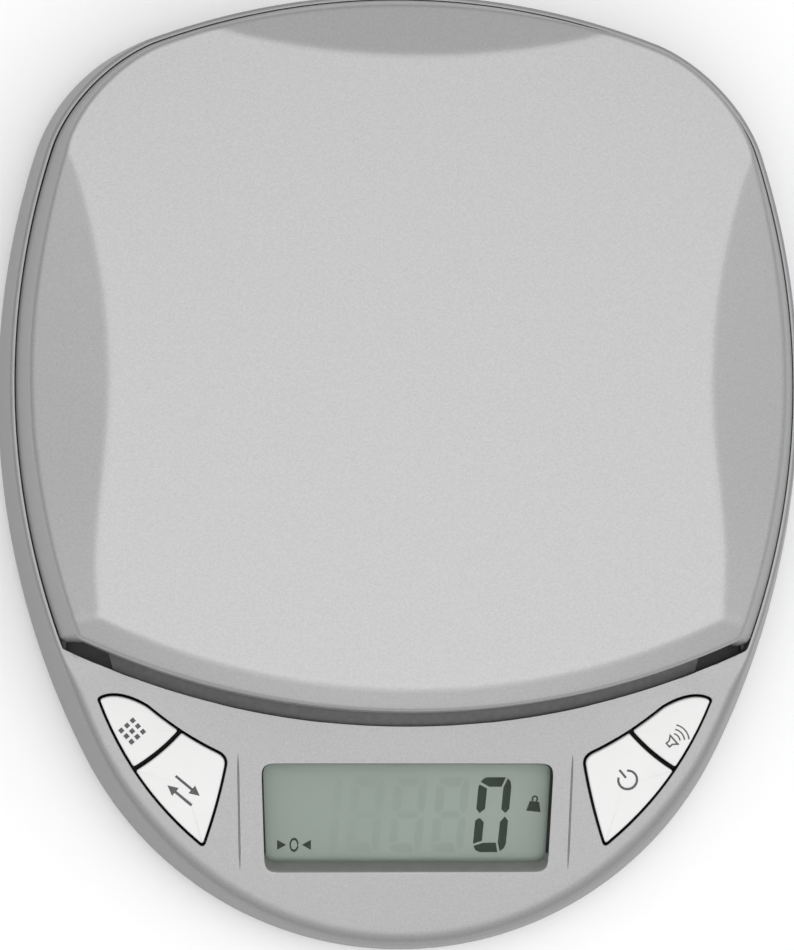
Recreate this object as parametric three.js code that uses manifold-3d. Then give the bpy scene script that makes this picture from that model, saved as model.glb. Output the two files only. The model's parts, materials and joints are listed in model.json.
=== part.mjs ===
// A compact battery-powered counting and portion scale, in millimetres, +Z up.
// The origin is the bottom centre of its bounding box: X runs to the right, Y to the back, and the feet
// stand on z = 0. The casing is a shallow tray and a flared cover with a sloping front panel; the
// weighing platform is a cap that sits on a carrier, bolted to one end of a bending-beam load cell.
import * as THREE from "three";
import { mergeVertices } from "three/addons/utils/BufferGeometryUtils.js";
import Module from "manifold-3d";

const wasm = await Module();
wasm.setup();

const { degToRad } = THREE.MathUtils;

// ---------------------------------------------------------------- driving dimensions
const HALF_WIDTH = 76.5; // of the casing, at its widest
const WIDEST_Y = 15.45; // where it is widest
const BACK_RADIUS = 140.4; // the four arcs of half the plan outline, back to front
const BACK_TURN = degToRad(20.4);
const CORNER_RADIUS = 34.5;
const CORNER_TURN = degToRad(52.7);
const FRONT_START = degToRad(27.5); // how far the side arc turns past the widest point

const FOOT_HEIGHT = 2.0; // of the gap under the casing
const FLOOR_TOP = 4.2; // inside face of the tray's floor
const SEAM_Z = 6.5; // top of the tray
const SEAM_GAP = 0.3;
const DECK_TOP = 20.2; // the shelf under the platform
const DECK_UNDERSIDE = 18.4;
const RIM_TOP = 24.0; // the wall round the shelf
const WALL = 2.0;
const RIM_OUTER_INSET = 3.1; // insets are measured in from the plan outline
const RIM_INNER_INSET = 4.0;
const CORNER_PULL = 0.9; // the rim and platform lean in this much more at the four corners

const PANEL_SLOPE = degToRad(11);
const PANEL_CORNER_Y = -36.7; // the panel's highest line, at its back corners
const PANEL_CORNER_Z = 24.3;
const PANEL_THICKNESS = 2.0;
const PANEL_BACK_Y = -49.2; // the panel's back edge at the middle
const PANEL_BACK_RADIUS = 148;

const PLATFORM_TOP = 38.0;
const PLATFORM_BOTTOM = 22.0;
const PLATFORM_FRONT_Y = -46.8;
const PLATFORM_FRONT_RADIUS = 143;
const PLATFORM_WALL = 2.0;
const PLATFORM_SKIN = 2.2; // thickness of its top
const FACET_FALL = 0.24; // how steeply the side and back facets drop
const BACK_FACET_Y = 73.4;
const BACK_FACET_RADIUS = 145;
const FRONT_BAND = 4.4; // width of the chamfer along the front edge
const FRONT_BAND_FALL = 0.36;

const CELL_LENGTH = 64; // the load cell lies along X under the middle of the platform
const CELL_WIDTH = 12;
const CELL_BOTTOM = 8.0;
const CELL_TOP = 17.6;
const CELL_Y = 20;
const CELL_SCREW_X = [20, 28]; // from the middle, at each end
const CELL_SCREW_RADIUS = 2;
const CARRIER_BOTTOM = 21.5;
const CARRIER_TOP = 24.5;
const POST_X = 42;
const POST_Y = [-12, 52];
const POST_RADIUS = 4;

const SCREW_GAP = 0.3; // radial play round every screw
const HOUSING_SCREWS = [
  [-48, 66],
  [48, 66],
  [-55, -26],
  [55, -26],
];
const FEET = [
  [-50, 52],
  [50, 52],
  [-42, -56],
  [42, -56],
];
const FOOT_RADIUS = 6;
const BATTERY_Y = 62; // middle of the battery compartment
const BATTERY_SIZE = [50, 28];
const BATTERY_ROOF = 8.2;
const CELL_RADIUS = 10; // each coin cell is 20 mm across and 3.2 mm thick
const CELL_THICKNESS = 3.2;
const COIN_X = 11.5;
const COIN_BOTTOM = 4.3;
const DOOR_GAP = 0.4;

const WINDOW_HALF_TOP = 26.8; // the display opening, in the panel's own plane
const WINDOW_HALF_BOTTOM = 26.0;
const WINDOW_BACK = -20.0;
const WINDOW_FRONT = -39.8;
const WINDOW_SLOPE_RUN = 2.4; // width of its sloping front wall
const GROOVE_X = [31.05, 30.5]; // of its back and front ends
const GROOVE_Y = [-18, -39.6];
const GROOVE_WIDTH = 0.8;
const GROOVE_DEPTH = 0.5;
const PCB_TOP = -8.6; // below the panel's face
const PCB_THICKNESS = 1.6;
const PCB_RADIUS = 60.5;
const PCB_SCREWS = [
  [-33, -11],
  [33, -11],
  [-22, -42.4],
  [22, -42.4],
];
const BUTTON_GAP = 0.45;
const BUTTON_SPLIT = 0.85; // the slit between the two caps of a pair
const BUTTON_PROUD = 0.6;
const BUTTON_FLANGE = 0.5; // how far a cap reaches under the panel
const BUTTON_BOTTOM = -4.4;
const SWITCH_SIZE = 6;

// ---------------------------------------------------------------- materials
const finish = (color, roughness, metalness = 0) =>
  new THREE.MeshStandardMaterial({ color, roughness, metalness });
const silverPlastic = finish(0xb4b5b6, 0.42, 0.35);
const capPlastic = finish(0xececec, 0.3);
const greyPlastic = finish(0x8f9294, 0.6);
const darkPlastic = finish(0x2a2c2e, 0.55);
const rubber = finish(0x1c1c1d, 0.85);
const aluminium = finish(0xc4c7ca, 0.35, 0.9);
const steel = finish(0x9da1a5, 0.3, 0.95);
const displayGlass = finish(0x949e96, 0.15);
const clearWindow = finish(0xdfe5e3, 0.05);
const boardGreen = finish(0x1f5a3a, 0.5);
const blobBlack = finish(0x121214, 0.4);
const sealWhite = finish(0xe6e6e0, 0.7);
const brass = finish(0xc9a45c, 0.35, 0.9);
const redWire = finish(0xb3231f, 0.5);
const blackWire = finish(0x1a1a1a, 0.5);
const greyWire = finish(0x7d8084, 0.55);
const labelWhite = finish(0xf0f0ee, 0.6);

// ---------------------------------------------------------------- plan outline
const backEnd = Math.PI / 2 - BACK_TURN;
const sideStart = backEnd - CORNER_TURN;
const SIDE_RADIUS =
  (HALF_WIDTH -
    BACK_RADIUS * Math.cos(backEnd) -
    CORNER_RADIUS * (Math.cos(sideStart) - Math.cos(backEnd))) /
  (1 - Math.cos(sideStart));
const FRONT_RADIUS =
  (HALF_WIDTH - SIDE_RADIUS * (1 - Math.cos(FRONT_START))) / Math.cos(FRONT_START);

const polar = (centre, radius, angle) =>
  new THREE.Vector2(centre.x + radius * Math.cos(angle), centre.y + radius * Math.sin(angle));
const sideCentre = new THREE.Vector2(HALF_WIDTH - SIDE_RADIUS, WIDEST_Y);
const frontCentre = polar(sideCentre, SIDE_RADIUS - FRONT_RADIUS, -FRONT_START);
const cornerCentre = polar(sideCentre, SIDE_RADIUS - CORNER_RADIUS, sideStart);
const backCentre = polar(cornerCentre, CORNER_RADIUS - BACK_RADIUS, backEnd);
const OUTLINE_ARCS = [
  { centre: frontCentre, radius: FRONT_RADIUS, from: -Math.PI / 2, to: -FRONT_START, steps: 9 },
  { centre: sideCentre, radius: SIDE_RADIUS, from: -FRONT_START, to: sideStart, steps: 6 },
  { centre: cornerCentre, radius: CORNER_RADIUS, from: sideStart, to: backEnd, steps: 7 },
  { centre: backCentre, radius: BACK_RADIUS, from: backEnd, to: Math.PI / 2, steps: 4 },
];

// The casing's plan outline moved in by an inset, counter-clockwise from the middle of the front. It is
// moved in by the pull as well where it faces a corner.
function outline(inset, pull = 0) {
  const half = [];
  for (const { centre, radius, from, to, steps } of OUTLINE_ARCS)
    for (let i = 0; i < steps; i++) {
      const angle = from + ((to - from) * i) / steps;
      half.push(polar(centre, radius - inset - pull * Math.sin(2 * angle) ** 2, angle));
    }
  const back = polar(backCentre, BACK_RADIUS - inset, Math.PI / 2);
  const otherHalf = half.slice(1).reverse();
  return [...half, back, ...otherHalf.map((p) => new THREE.Vector2(-p.x, p.y))];
}

// ---------------------------------------------------------------- geometry helpers
// A closed body through rings of equal length, bottom to top, each counter-clockwise from above.
function loft(rings) {
  const count = rings[0].length;
  const index = [];
  for (let level = 0; level + 1 < rings.length; level++)
    for (let i = 0; i < count; i++) {
      const a = level * count + i;
      const b = level * count + ((i + 1) % count);
      index.push(a, b, b + count, a, b + count, a + count);
    }
  const flat = rings[0].map((p) => new THREE.Vector2(p.x, p.y));
  const top = (rings.length - 1) * count;
  for (const [a, b, c] of THREE.ShapeUtils.triangulateShape(flat, []))
    index.push(c, b, a, top + a, top + b, top + c);
  const geometry = new THREE.BufferGeometry();
  geometry.setAttribute(
    "position",
    new THREE.Float32BufferAttribute(rings.flat().flatMap((p) => [p.x, p.y, p.z]), 3),
  );
  geometry.setIndex(index);
  return geometry;
}

// The outline stacked at heights, from [z, inset, pull] rows.
const outlineBody = (profile) =>
  loft(
    profile.map(([z, inset, pull]) => outline(inset, pull).map((p) => new THREE.Vector3(p.x, p.y, z))),
  );

function box(x0, x1, y0, y1, z0, z1) {
  const geometry = new THREE.BoxGeometry(x1 - x0, y1 - y0, z1 - z0);
  return geometry.translate((x0 + x1) / 2, (y0 + y1) / 2, (z0 + z1) / 2);
}

function cylinder(radius, x, y, z0, z1, sides = 20, topRadius = radius) {
  const geometry = new THREE.CylinderGeometry(topRadius, radius, z1 - z0, sides);
  return geometry.rotateX(Math.PI / 2).translate(x, y, (z0 + z1) / 2);
}

function prism(points, z0, z1) {
  const geometry = new THREE.ExtrudeGeometry(new THREE.Shape(points), {
    depth: z1 - z0,
    bevelEnabled: false,
    curveSegments: 1,
  });
  return geometry.translate(0, 0, z0);
}

function roundedRectangle(halfX, halfY, radius, y = 0, x = 0) {
  const shape = new THREE.Shape();
  shape.absarc(x + halfX - radius, y + halfY - radius, radius, 0, Math.PI / 2);
  shape.absarc(x - halfX + radius, y + halfY - radius, radius, Math.PI / 2, Math.PI);
  shape.absarc(x - halfX + radius, y - halfY + radius, radius, Math.PI, 1.5 * Math.PI);
  shape.absarc(x + halfX - radius, y - halfY + radius, radius, 1.5 * Math.PI, 2 * Math.PI);
  return cleaned(shape.getPoints(4));
}

// A closed outline's points without those that are nearly the same as the next one.
function cleaned(points, nearest = 1e-3) {
  return points.filter((p, i) => p.distanceTo(points[(i + 1) % points.length]) > nearest);
}

function tube(points, radius, steps) {
  const path = new THREE.CatmullRomCurve3(points.map((p) => new THREE.Vector3(...p)));
  const section = new THREE.Shape();
  section.absarc(0, 0, radius, 0, 2 * Math.PI);
  return new THREE.ExtrudeGeometry(new THREE.Shape(cleaned(section.getPoints(4))), {
    steps,
    extrudePath: path,
  });
}

function solid(geometry) {
  const plain = geometry.index ? geometry.clone() : geometry;
  plain.deleteAttribute("normal");
  plain.deleteAttribute("uv");
  const merged = mergeVertices(plain, 1e-4);
  return new wasm.Manifold(
    new wasm.Mesh({
      numProp: 3,
      vertProperties: merged.attributes.position.array,
      triVerts: new Uint32Array(merged.index.array),
    }),
  );
}

// A closed solid through four-cornered sections, in either winding.
function strip(sections, place = new THREE.Matrix4()) {
  const geometry = new THREE.BufferGeometry();
  const flat = sections.flat().flatMap((p) => [p.x, p.y, p.z]);
  geometry.setAttribute("position", new THREE.Float32BufferAttribute(flat, 3));
  const last = (sections.length - 1) * 4;
  const index = [0, 1, 2, 0, 2, 3, last + 2, last + 1, last, last + 3, last + 2, last];
  for (let k = 0; k + 1 < sections.length; k++)
    for (let i = 0; i < 4; i++) {
      const a = k * 4 + i;
      const b = k * 4 + ((i + 1) % 4);
      index.push(b, a, a + 4, b, a + 4, b + 4);
    }
  geometry.setIndex(index);
  geometry.applyMatrix4(place);
  const body = solid(geometry);
  if (body.volume() > 0) return body;
  geometry.setIndex(index.reverse());
  return solid(geometry);
}

const joined = (parts) => parts.map(toSolid).reduce((a, b) => a.add(b));
const cut = (body, cutters) => cutters.map(toSolid).reduce((a, b) => a.subtract(b), toSolid(body));
const common = (a, b) => toSolid(a).intersect(toSolid(b));
const toSolid = (part) => (part.isBufferGeometry ? solid(part) : part);

const scale = new THREE.Group();
const panel = new THREE.Group(); // the front panel's own frame: z = 0 is its outer face
panel.position.set(0, PANEL_CORNER_Y, PANEL_CORNER_Z);
panel.rotation.x = PANEL_SLOPE;
panel.updateMatrix();
scale.add(panel);

function add(name, part, material, parent = scale) {
  let geometry = part;
  if (!part.isBufferGeometry) {
    const { vertProperties, triVerts } = part.getMesh();
    geometry = new THREE.BufferGeometry();
    geometry.setAttribute("position", new THREE.Float32BufferAttribute(vertProperties, 3));
    geometry.setIndex([...triVerts]);
  }
  const mesh = new THREE.Mesh(geometry, material);
  mesh.name = name;
  parent.add(mesh);
}

const onPanel = (geometry) => geometry.applyMatrix4(panel.matrix);

// An arc that bows to the front, from left to right, through (0, middleY).
function arcPoints(middleY, radius, reach, steps) {
  const points = [];
  for (let i = 0; i <= steps; i++) {
    const x = -reach + (2 * reach * i) / steps;
    points.push(new THREE.Vector2(x, middleY + radius - Math.sqrt(radius ** 2 - x ** 2)));
  }
  return points;
}

// Everything in front of such an arc, as a tall prism.
function frontRegion(middleY, radius, steps = 20) {
  const reach = 90;
  const far = -110;
  const points = arcPoints(middleY, radius, reach, steps);
  points.push(new THREE.Vector2(reach, far), new THREE.Vector2(-reach, far));
  return prism(points.reverse(), -10, 60);
}

// Everything above a plane parallel to the panel's face.
const abovePanel = (height) => onPanel(box(-90, 90, -80, 30, height, height + 40));

// ---------------------------------------------------------------- buttons
// The left pair's opening in the panel; its corners, and the bends of the edges between them.
function pairOpening() {
  const shape = new THREE.Shape();
  shape.moveTo(-56.7, -8.2);
  shape.quadraticCurveTo(-57.2, -7.5, -56.3, -7.1);
  shape.quadraticCurveTo(-53.0, -5.6, -47.6, -8.7);
  shape.quadraticCurveTo(-40.75, -14.4, -34.6, -17.3);
  shape.quadraticCurveTo(-32.7, -18.3, -33.1, -20.1);
  shape.quadraticCurveTo(-34.4, -27.1, -36.9, -34.6);
  shape.quadraticCurveTo(-37.3, -35.6, -38.1, -34.8);
  shape.quadraticCurveTo(-50.7, -24.1, -56.7, -8.2);
  return cleaned(shape.getPoints(5)).reverse();
}

// How far a point is from the nearest side of a closed outline.
function clearance(point, outlinePoints) {
  const side = new THREE.Line3();
  const at = new THREE.Vector3(point.x, point.y, 0);
  const nearest = new THREE.Vector3();
  return Math.min(
    ...outlinePoints.map((p, i) => {
      const next = outlinePoints[(i + 1) % outlinePoints.length];
      side.set(new THREE.Vector3(p.x, p.y, 0), new THREE.Vector3(next.x, next.y, 0));
      return side.closestPointToPoint(at, true, nearest).distanceTo(at);
    }),
  );
}

// A closed counter-clockwise outline moved in by a distance, corner by corner, without the corners that
// are too tight to move in.
function movedIn(points, distance) {
  const moved = points.map((p, i) => {
    const before = points[(i + points.length - 1) % points.length];
    const after = points[(i + 1) % points.length];
    const a = p.clone().sub(before).normalize();
    const b = after.clone().sub(p).normalize();
    const normal = new THREE.Vector2(-a.y - b.y, a.x + b.x).normalize();
    const stretch = Math.max(0.5, -a.y * normal.x + a.x * normal.y);
    return p.clone().addScaledVector(normal, distance / stretch);
  });
  return cleaned(
    moved.filter((p) => clearance(p, points) > 0.97 * Math.abs(distance)),
    0.15,
  );
}

// One side of the bowed slit between the caps: side 1 is the outer cap's, -1 the inner cap's.
function slitSide(side) {
  const across = new THREE.Vector2(-0.648, 0.7615);
  const along = new THREE.Vector2(0.7615, 0.648);
  const middle = new THREE.Vector2(-45.9, -17.0);
  const bow = -0.5;
  const reach = 12;
  const points = [];
  for (let i = -4; i <= 4; i++) {
    const s = (reach * i) / 4;
    const sideways = bow * (1 - Math.min(1, (s / 6) ** 2)) + (side * BUTTON_SPLIT) / 2;
    points.push(middle.clone().addScaledVector(along, s).addScaledVector(across, sideways));
  }
  const away = side * 30;
  points.push(middle.clone().addScaledVector(along, reach).addScaledVector(across, away));
  points.push(middle.clone().addScaledVector(along, -reach).addScaledVector(across, away));
  return side > 0 ? points : points.reverse();
}

const mirrored = (points) => points.map((p) => new THREE.Vector2(-p.x, p.y)).reverse();
const leftOpening = pairOpening();
const pairSides = [
  { hand: (points) => points, caps: ["button_count", "button_unit"] },
  { hand: mirrored, caps: ["button_sound", "button_power"] },
];

function addButtons() {
  const capTop = movedIn(leftOpening, BUTTON_GAP);
  const flange = movedIn(leftOpening, -BUTTON_FLANGE);
  for (const { hand, caps } of pairSides) {
    const body = joined([
      prism(hand(capTop), BUTTON_BOTTOM, BUTTON_PROUD),
      prism(hand(flange), BUTTON_BOTTOM, -PANEL_THICKNESS - 0.4),
    ]);
    [1, -1].forEach((side, i) => {
      const region = prism(hand(slitSide(side)), -20, 20);
      add(caps[i], common(body, region), capPlastic, panel);
    });
  }
}

const SWITCHES = [
  [-51.5, -14.5],
  [-40.5, -24],
  [40.5, -24],
  [51.5, -14.5],
];

function addSwitches() {
  const half = SWITCH_SIZE / 2;
  SWITCHES.forEach(([x, y], i) => {
    const base = PCB_TOP + 0.05;
    const body = joined([
      box(x - half, x + half, y - half, y + half, base, base + 2.2),
      cylinder(1.7, x, y, base + 2, base + 3.2, 14),
    ]);
    add(`tact_switch_${i + 1}`, body, darkPlastic, panel);
  });
}

// ---------------------------------------------------------------- casing
const SKIRT_PROFILE = [
  [SEAM_Z + SEAM_GAP, 0.15],
  [12, 0.9, CORNER_PULL * 0.25],
  [18, 2.05, CORNER_PULL * 0.6],
  [RIM_TOP - 0.4, RIM_OUTER_INSET, CORNER_PULL],
  [RIM_TOP, RIM_OUTER_INSET + 0.3, CORNER_PULL],
];

// The display opening: straight at the back and sides, sloping at the front.
function windowCutter() {
  const depth = PANEL_THICKNESS + 0.5;
  const ring = (front, z) => {
    const corners = [
      [-WINDOW_HALF_BOTTOM, front],
      [WINDOW_HALF_BOTTOM, front],
      [WINDOW_HALF_TOP, WINDOW_BACK],
      [-WINDOW_HALF_TOP, WINDOW_BACK],
    ];
    return corners.map(([x, y]) => new THREE.Vector3(x, y, z));
  };
  return onPanel(
    loft([ring(WINDOW_FRONT + WINDOW_SLOPE_RUN, -depth), ring(WINDOW_FRONT, 0), ring(WINDOW_FRONT, 3)]),
  );
}

// The fine line pressed into the panel on one side of the display, diamond-shaped in section.
function grooveCutter(side) {
  const half = GROOVE_WIDTH / 2;
  const section = (x, y) => [
    new THREE.Vector3(side * x, y, -GROOVE_DEPTH),
    new THREE.Vector3(side * x + half, y, 0.05),
    new THREE.Vector3(side * x, y, 1),
    new THREE.Vector3(side * x - half, y, 0.05),
  ];
  return strip([section(GROOVE_X[0], GROOVE_Y[0]), section(GROOVE_X[1], GROOVE_Y[1])], panel.matrix);
}

function addUpperHousing() {
  const behindPanel = cut(box(-90, 90, -90, 110, DECK_TOP, 60), [
    frontRegion(PANEL_BACK_Y, PANEL_BACK_RADIUS),
  ]);
  const shelf = common(
    behindPanel,
    outlineBody([
      [10, RIM_INNER_INSET, CORNER_PULL],
      [60, RIM_INNER_INSET, CORNER_PULL],
    ]),
  );
  const panelSpace = common(abovePanel(0), frontRegion(PANEL_BACK_Y, PANEL_BACK_RADIUS));
  const lowCavity = outlineBody([
    [SEAM_Z, WALL + 0.15],
    [12, WALL + 0.9, CORNER_PULL * 0.25],
    [DECK_UNDERSIDE, WALL + 2.1, CORNER_PULL * 0.6],
  ]);
  const highCavity = cut(
    common(
      outlineBody([
        [12, WALL + 1.2],
        [25, WALL + 3.2, CORNER_PULL],
      ]),
      frontRegion(PANEL_BACK_Y - 1.8, PANEL_BACK_RADIUS),
    ),
    [abovePanel(-PANEL_THICKNESS)],
  );
  const cavityUnderPanel = cut(lowCavity, [abovePanel(-PANEL_THICKNESS)]);
  const notches = [-1, 1].map((side) =>
    box(side * 58.6 - 4.2, side * 58.6 + 4.2, -41, -31.5, DECK_TOP - 1.2, DECK_TOP + 0.1),
  );
  const cellSlot = box(10, 35, CELL_Y - 10, CELL_Y + 10, 15, 30);
  const shell = cut(outlineBody(SKIRT_PROFILE), [
    shelf,
    panelSpace,
    cavityUnderPanel,
    highCavity,
    ...notches,
    cellSlot,
    windowCutter(),
    grooveCutter(-1),
    grooveCutter(1),
    ...pairSides.map(({ hand }) => onPanel(prism(hand(leftOpening), -6, 6))),
  ]);
  const bosses = HOUSING_SCREWS.map(([x, y]) => cylinder(3.6, x, y, 8.8, DECK_UNDERSIDE + 0.5, 16));
  const posts = PCB_SCREWS.map(([x, y]) => onPanel(cylinder(2.2, x, y, PCB_TOP + 0.3, -1.5, 12)));
  const screwHoles = [
    ...HOUSING_SCREWS.map(([x, y]) => cylinder(1.5 + SCREW_GAP, x, y, 5, 16.5, 14)),
    ...PCB_SCREWS.map(([x, y]) => onPanel(cylinder(1 + SCREW_GAP, x, y, PCB_TOP - 1, -3.6, 12))),
  ];
  add("upper_housing", cut(joined([shell, ...bosses, ...posts]), screwHoles), silverPlastic);
}

function addLowerHousing() {
  const [pocketX, pocketY] = BATTERY_SIZE.map((side) => side / 2);
  const tray = cut(
    outlineBody([
      [FOOT_HEIGHT, 3.4],
      [2.7, 1.4],
      [3.8, 0.3],
      [5.0, 0],
      [SEAM_Z, 0.1],
    ]),
    [outlineBody([[FLOOR_TOP, WALL + 0.4], [12, WALL + 0.3]])],
  );
  const bosses = HOUSING_SCREWS.map(([x, y]) => cylinder(4.4, x, y, 3, 8.5, 16));
  const pocketShell = box(
    -pocketX - 1.6,
    pocketX + 1.6,
    BATTERY_Y - pocketY - 1.6,
    BATTERY_Y + pocketY + 1.6,
    3,
    BATTERY_ROOF + 1.6,
  );
  const pocket = box(-pocketX, pocketX, BATTERY_Y - pocketY, BATTERY_Y + pocketY, 0, BATTERY_ROOF);
  const cellSeat = box(-33.5, -15, CELL_Y - 7.5, CELL_Y + 7.5, 3, 5.2);
  const holes = [
    ...HOUSING_SCREWS.flatMap(([x, y]) => [
      cylinder(1.5 + SCREW_GAP, x, y, 0, 10, 14),
      cylinder(3.1, x, y, 0, 4.6, 16),
    ]),
    ...CELL_SCREW_X.flatMap((x) => [
      cylinder(CELL_SCREW_RADIUS + SCREW_GAP, -x, CELL_Y, 0, 8, 14),
      cylinder(3.5, -x, CELL_Y, 0, 3.9, 16),
    ]),
    ...FEET.map(([x, y]) => cylinder(FOOT_RADIUS + 0.3, x, y, 1, 2.8, 24)),
  ];
  const body = cut(joined([tray, ...bosses, pocketShell, cellSeat]), [pocket, ...holes]);
  add("lower_housing", body, silverPlastic);
}

function addFeet() {
  FEET.forEach(([x, y], i) => {
    const foot = joined([
      cylinder(FOOT_RADIUS - 0.7, x, y, 0, 0.7, 24, FOOT_RADIUS),
      cylinder(FOOT_RADIUS, x, y, 0.7, 2.5, 24),
    ]);
    add(`rubber_foot_${i + 1}`, foot, rubber);
  });
}

// A pan-head screw whose head is at the bottom.
function risingScrew(x, y, headBottom, headTop, tip, headRadius, radius) {
  const slotTop = (headTop + headBottom) / 2;
  const armLength = headRadius / 2;
  const body = joined([
    cylinder(headRadius, x, y, headBottom, headTop, 14),
    cylinder(radius, x, y, headTop - 0.2, tip, 10),
  ]);
  return cut(body, [
    box(x - armLength, x + armLength, y - 0.4, y + 0.4, headBottom - 1, slotTop),
    box(x - 0.4, x + 0.4, y - armLength, y + armLength, headBottom - 1, slotTop),
  ]);
}

function addHousingScrews() {
  HOUSING_SCREWS.forEach(([x, y], i) => {
    add(`housing_screw_${i + 1}`, risingScrew(x, y, 2.6, 4.3, 16, 2.8, 1.5), steel);
  });
}

// ---------------------------------------------------------------- battery bay
function addBatteryBay() {
  const [halfX, halfY] = BATTERY_SIZE.map((side) => side / 2 - DOOR_GAP);
  const plate = prism(roundedRectangle(halfX, halfY, 1.5, BATTERY_Y), FOOT_HEIGHT, 3.6);
  const grips = [0, 1, 2].map((i) => {
    const y = BATTERY_Y + halfY - 4 - i * 2;
    return box(-7, 7, y - 0.4, y + 0.4, FOOT_HEIGHT - 1, FOOT_HEIGHT + 0.4);
  });
  add("battery_door", cut(plate, grips), silverPlastic);

  [-1, 1].forEach((side, i) => {
    const x = side * COIN_X;
    const cell = joined([
      cylinder(CELL_RADIUS, x, BATTERY_Y, COIN_BOTTOM, COIN_BOTTOM + 2.6, 24),
      cylinder(CELL_RADIUS - 1.2, x, BATTERY_Y, COIN_BOTTOM + 2.5, COIN_BOTTOM + CELL_THICKNESS, 24),
    ]);
    add(`coin_cell_${i + 1}`, cell, steel);
    const rib = box(x - 2, x + 2, BATTERY_Y - 7, BATTERY_Y + 7, 7.6, 8.1);
    add(`cell_contact_${i + 1}`, rib, brass);
    const clipY = BATTERY_Y + CELL_RADIUS + 0.8;
    const clip = box(x - 3, x + 3, clipY, clipY + 0.6, COIN_BOTTOM, 8);
    add(`cell_contact_${i + 3}`, clip, brass);
  });
}

// ---------------------------------------------------------------- load cell
function addLoadCell() {
  const half = CELL_LENGTH / 2;
  const middleZ = (CELL_BOTTOM + CELL_TOP) / 2;
  const bore = (x) => {
    const geometry = new THREE.CylinderGeometry(3.3, 3.3, CELL_WIDTH + 4, 20);
    return geometry.translate(x, CELL_Y, middleZ);
  };
  const bar = box(-half, half, CELL_Y - CELL_WIDTH / 2, CELL_Y + CELL_WIDTH / 2, CELL_BOTTOM, CELL_TOP);
  const slot = box(-7, 7, CELL_Y - CELL_WIDTH, CELL_Y + CELL_WIDTH, middleZ - 1, middleZ + 1);
  const holes = CELL_SCREW_X.flatMap((x) =>
    [-x, x].map((at) => cylinder(CELL_SCREW_RADIUS + SCREW_GAP, at, CELL_Y, 0, 40, 14)),
  );
  add("load_cell", cut(bar, [bore(-7), bore(7), slot, ...holes]), aluminium);

  const spacer = (x0, x1, z0, z1) =>
    cut(box(x0, x1, CELL_Y - 6, CELL_Y + 6, z0, z1), holes);
  add("load_cell_base_spacer", spacer(-32, -16, 5.2, CELL_BOTTOM), aluminium);
  add("load_cell_top_spacer", spacer(16, 32, CELL_TOP + 0.3, CARRIER_BOTTOM), aluminium);

  const cover = (z0, z1) => prism(roundedRectangle(11, 5, 2, CELL_Y), z0, z1);
  add("gauge_cover_top", cover(CELL_TOP + 0.02, CELL_TOP + 0.7), sealWhite);
  add("gauge_cover_bottom", cover(CELL_BOTTOM - 1.4, CELL_BOTTOM - 0.02), sealWhite);

  CELL_SCREW_X.forEach((x, i) => {
    const low = risingScrew(-x, CELL_Y, 2.3, 3.8, 14, 3.2, CELL_SCREW_RADIUS);
    add(`load_cell_screw_${i + 1}`, low, steel);
    const high = joined([
      cylinder(3.2, x, CELL_Y, CARRIER_TOP + 0.02, CARRIER_TOP + 1.8, 14),
      cylinder(CELL_SCREW_RADIUS, x, CELL_Y, 12, CARRIER_TOP + 0.3, 10),
    ]);
    const cross = [
      box(x - 1.6, x + 1.6, CELL_Y - 0.4, CELL_Y + 0.4, CARRIER_TOP + 0.9, 40),
      box(x - 0.4, x + 0.4, CELL_Y - 1.6, CELL_Y + 1.6, CARRIER_TOP + 0.9, 40),
    ];
    add(`load_cell_screw_${i + 3}`, cut(high, cross), steel);
  });
}

function addCarrier() {
  const posts = POST_Y.flatMap((y) => [-POST_X, POST_X].map((x) => [x, y]));
  const rail = (y) => box(-POST_X, POST_X, y - 4, y + 4, CARRIER_BOTTOM, CARRIER_TOP);
  const spine = (x) => box(x - 5, x + 5, POST_Y[0], POST_Y[1], CARRIER_BOTTOM, CARRIER_TOP);
  const body = joined([
    rail(POST_Y[0]),
    rail(POST_Y[1]),
    spine(-18),
    spine(18),
    box(-22, 34, CELL_Y - 9, CELL_Y + 9, CARRIER_BOTTOM, CARRIER_TOP),
    ...posts.map(([x, y]) => cylinder(POST_RADIUS, x, y, CARRIER_BOTTOM, PLATFORM_TOP - PLATFORM_SKIN - 0.4, 18)),
  ]);
  const holes = CELL_SCREW_X.map((x) =>
    cylinder(CELL_SCREW_RADIUS + SCREW_GAP, x, CELL_Y, 10, 40, 14),
  );
  add("platform_carrier", cut(body, holes), greyPlastic);
}

// ---------------------------------------------------------------- platform
const SIDE_FACET = new THREE.SplineCurve([
  new THREE.Vector2(57.5, -60),
  new THREE.Vector2(56.4, -34),
  new THREE.Vector2(56.9, -17),
  new THREE.Vector2(55.1, 5),
  new THREE.Vector2(55.0, 18),
  new THREE.Vector2(56.6, 33),
  new THREE.Vector2(61.4, 52),
  new THREE.Vector2(72.0, 77),
]);

// A wedge above a facet: it starts on a plan curve at the top face and drops at a steady rate outwards.
function wedge(curve, outwards, fall, lowered) {
  const reach = 30;
  const top = PLATFORM_TOP - lowered;
  const sections = curve.map((p) => {
    const far = p.clone().addScaledVector(outwards, reach);
    return [
      new THREE.Vector3(p.x, p.y, top),
      new THREE.Vector3(far.x, far.y, top - reach * fall),
      new THREE.Vector3(far.x, far.y, top + 20),
      new THREE.Vector3(p.x, p.y, top + 20),
    ];
  });
  return strip(sections);
}

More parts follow.
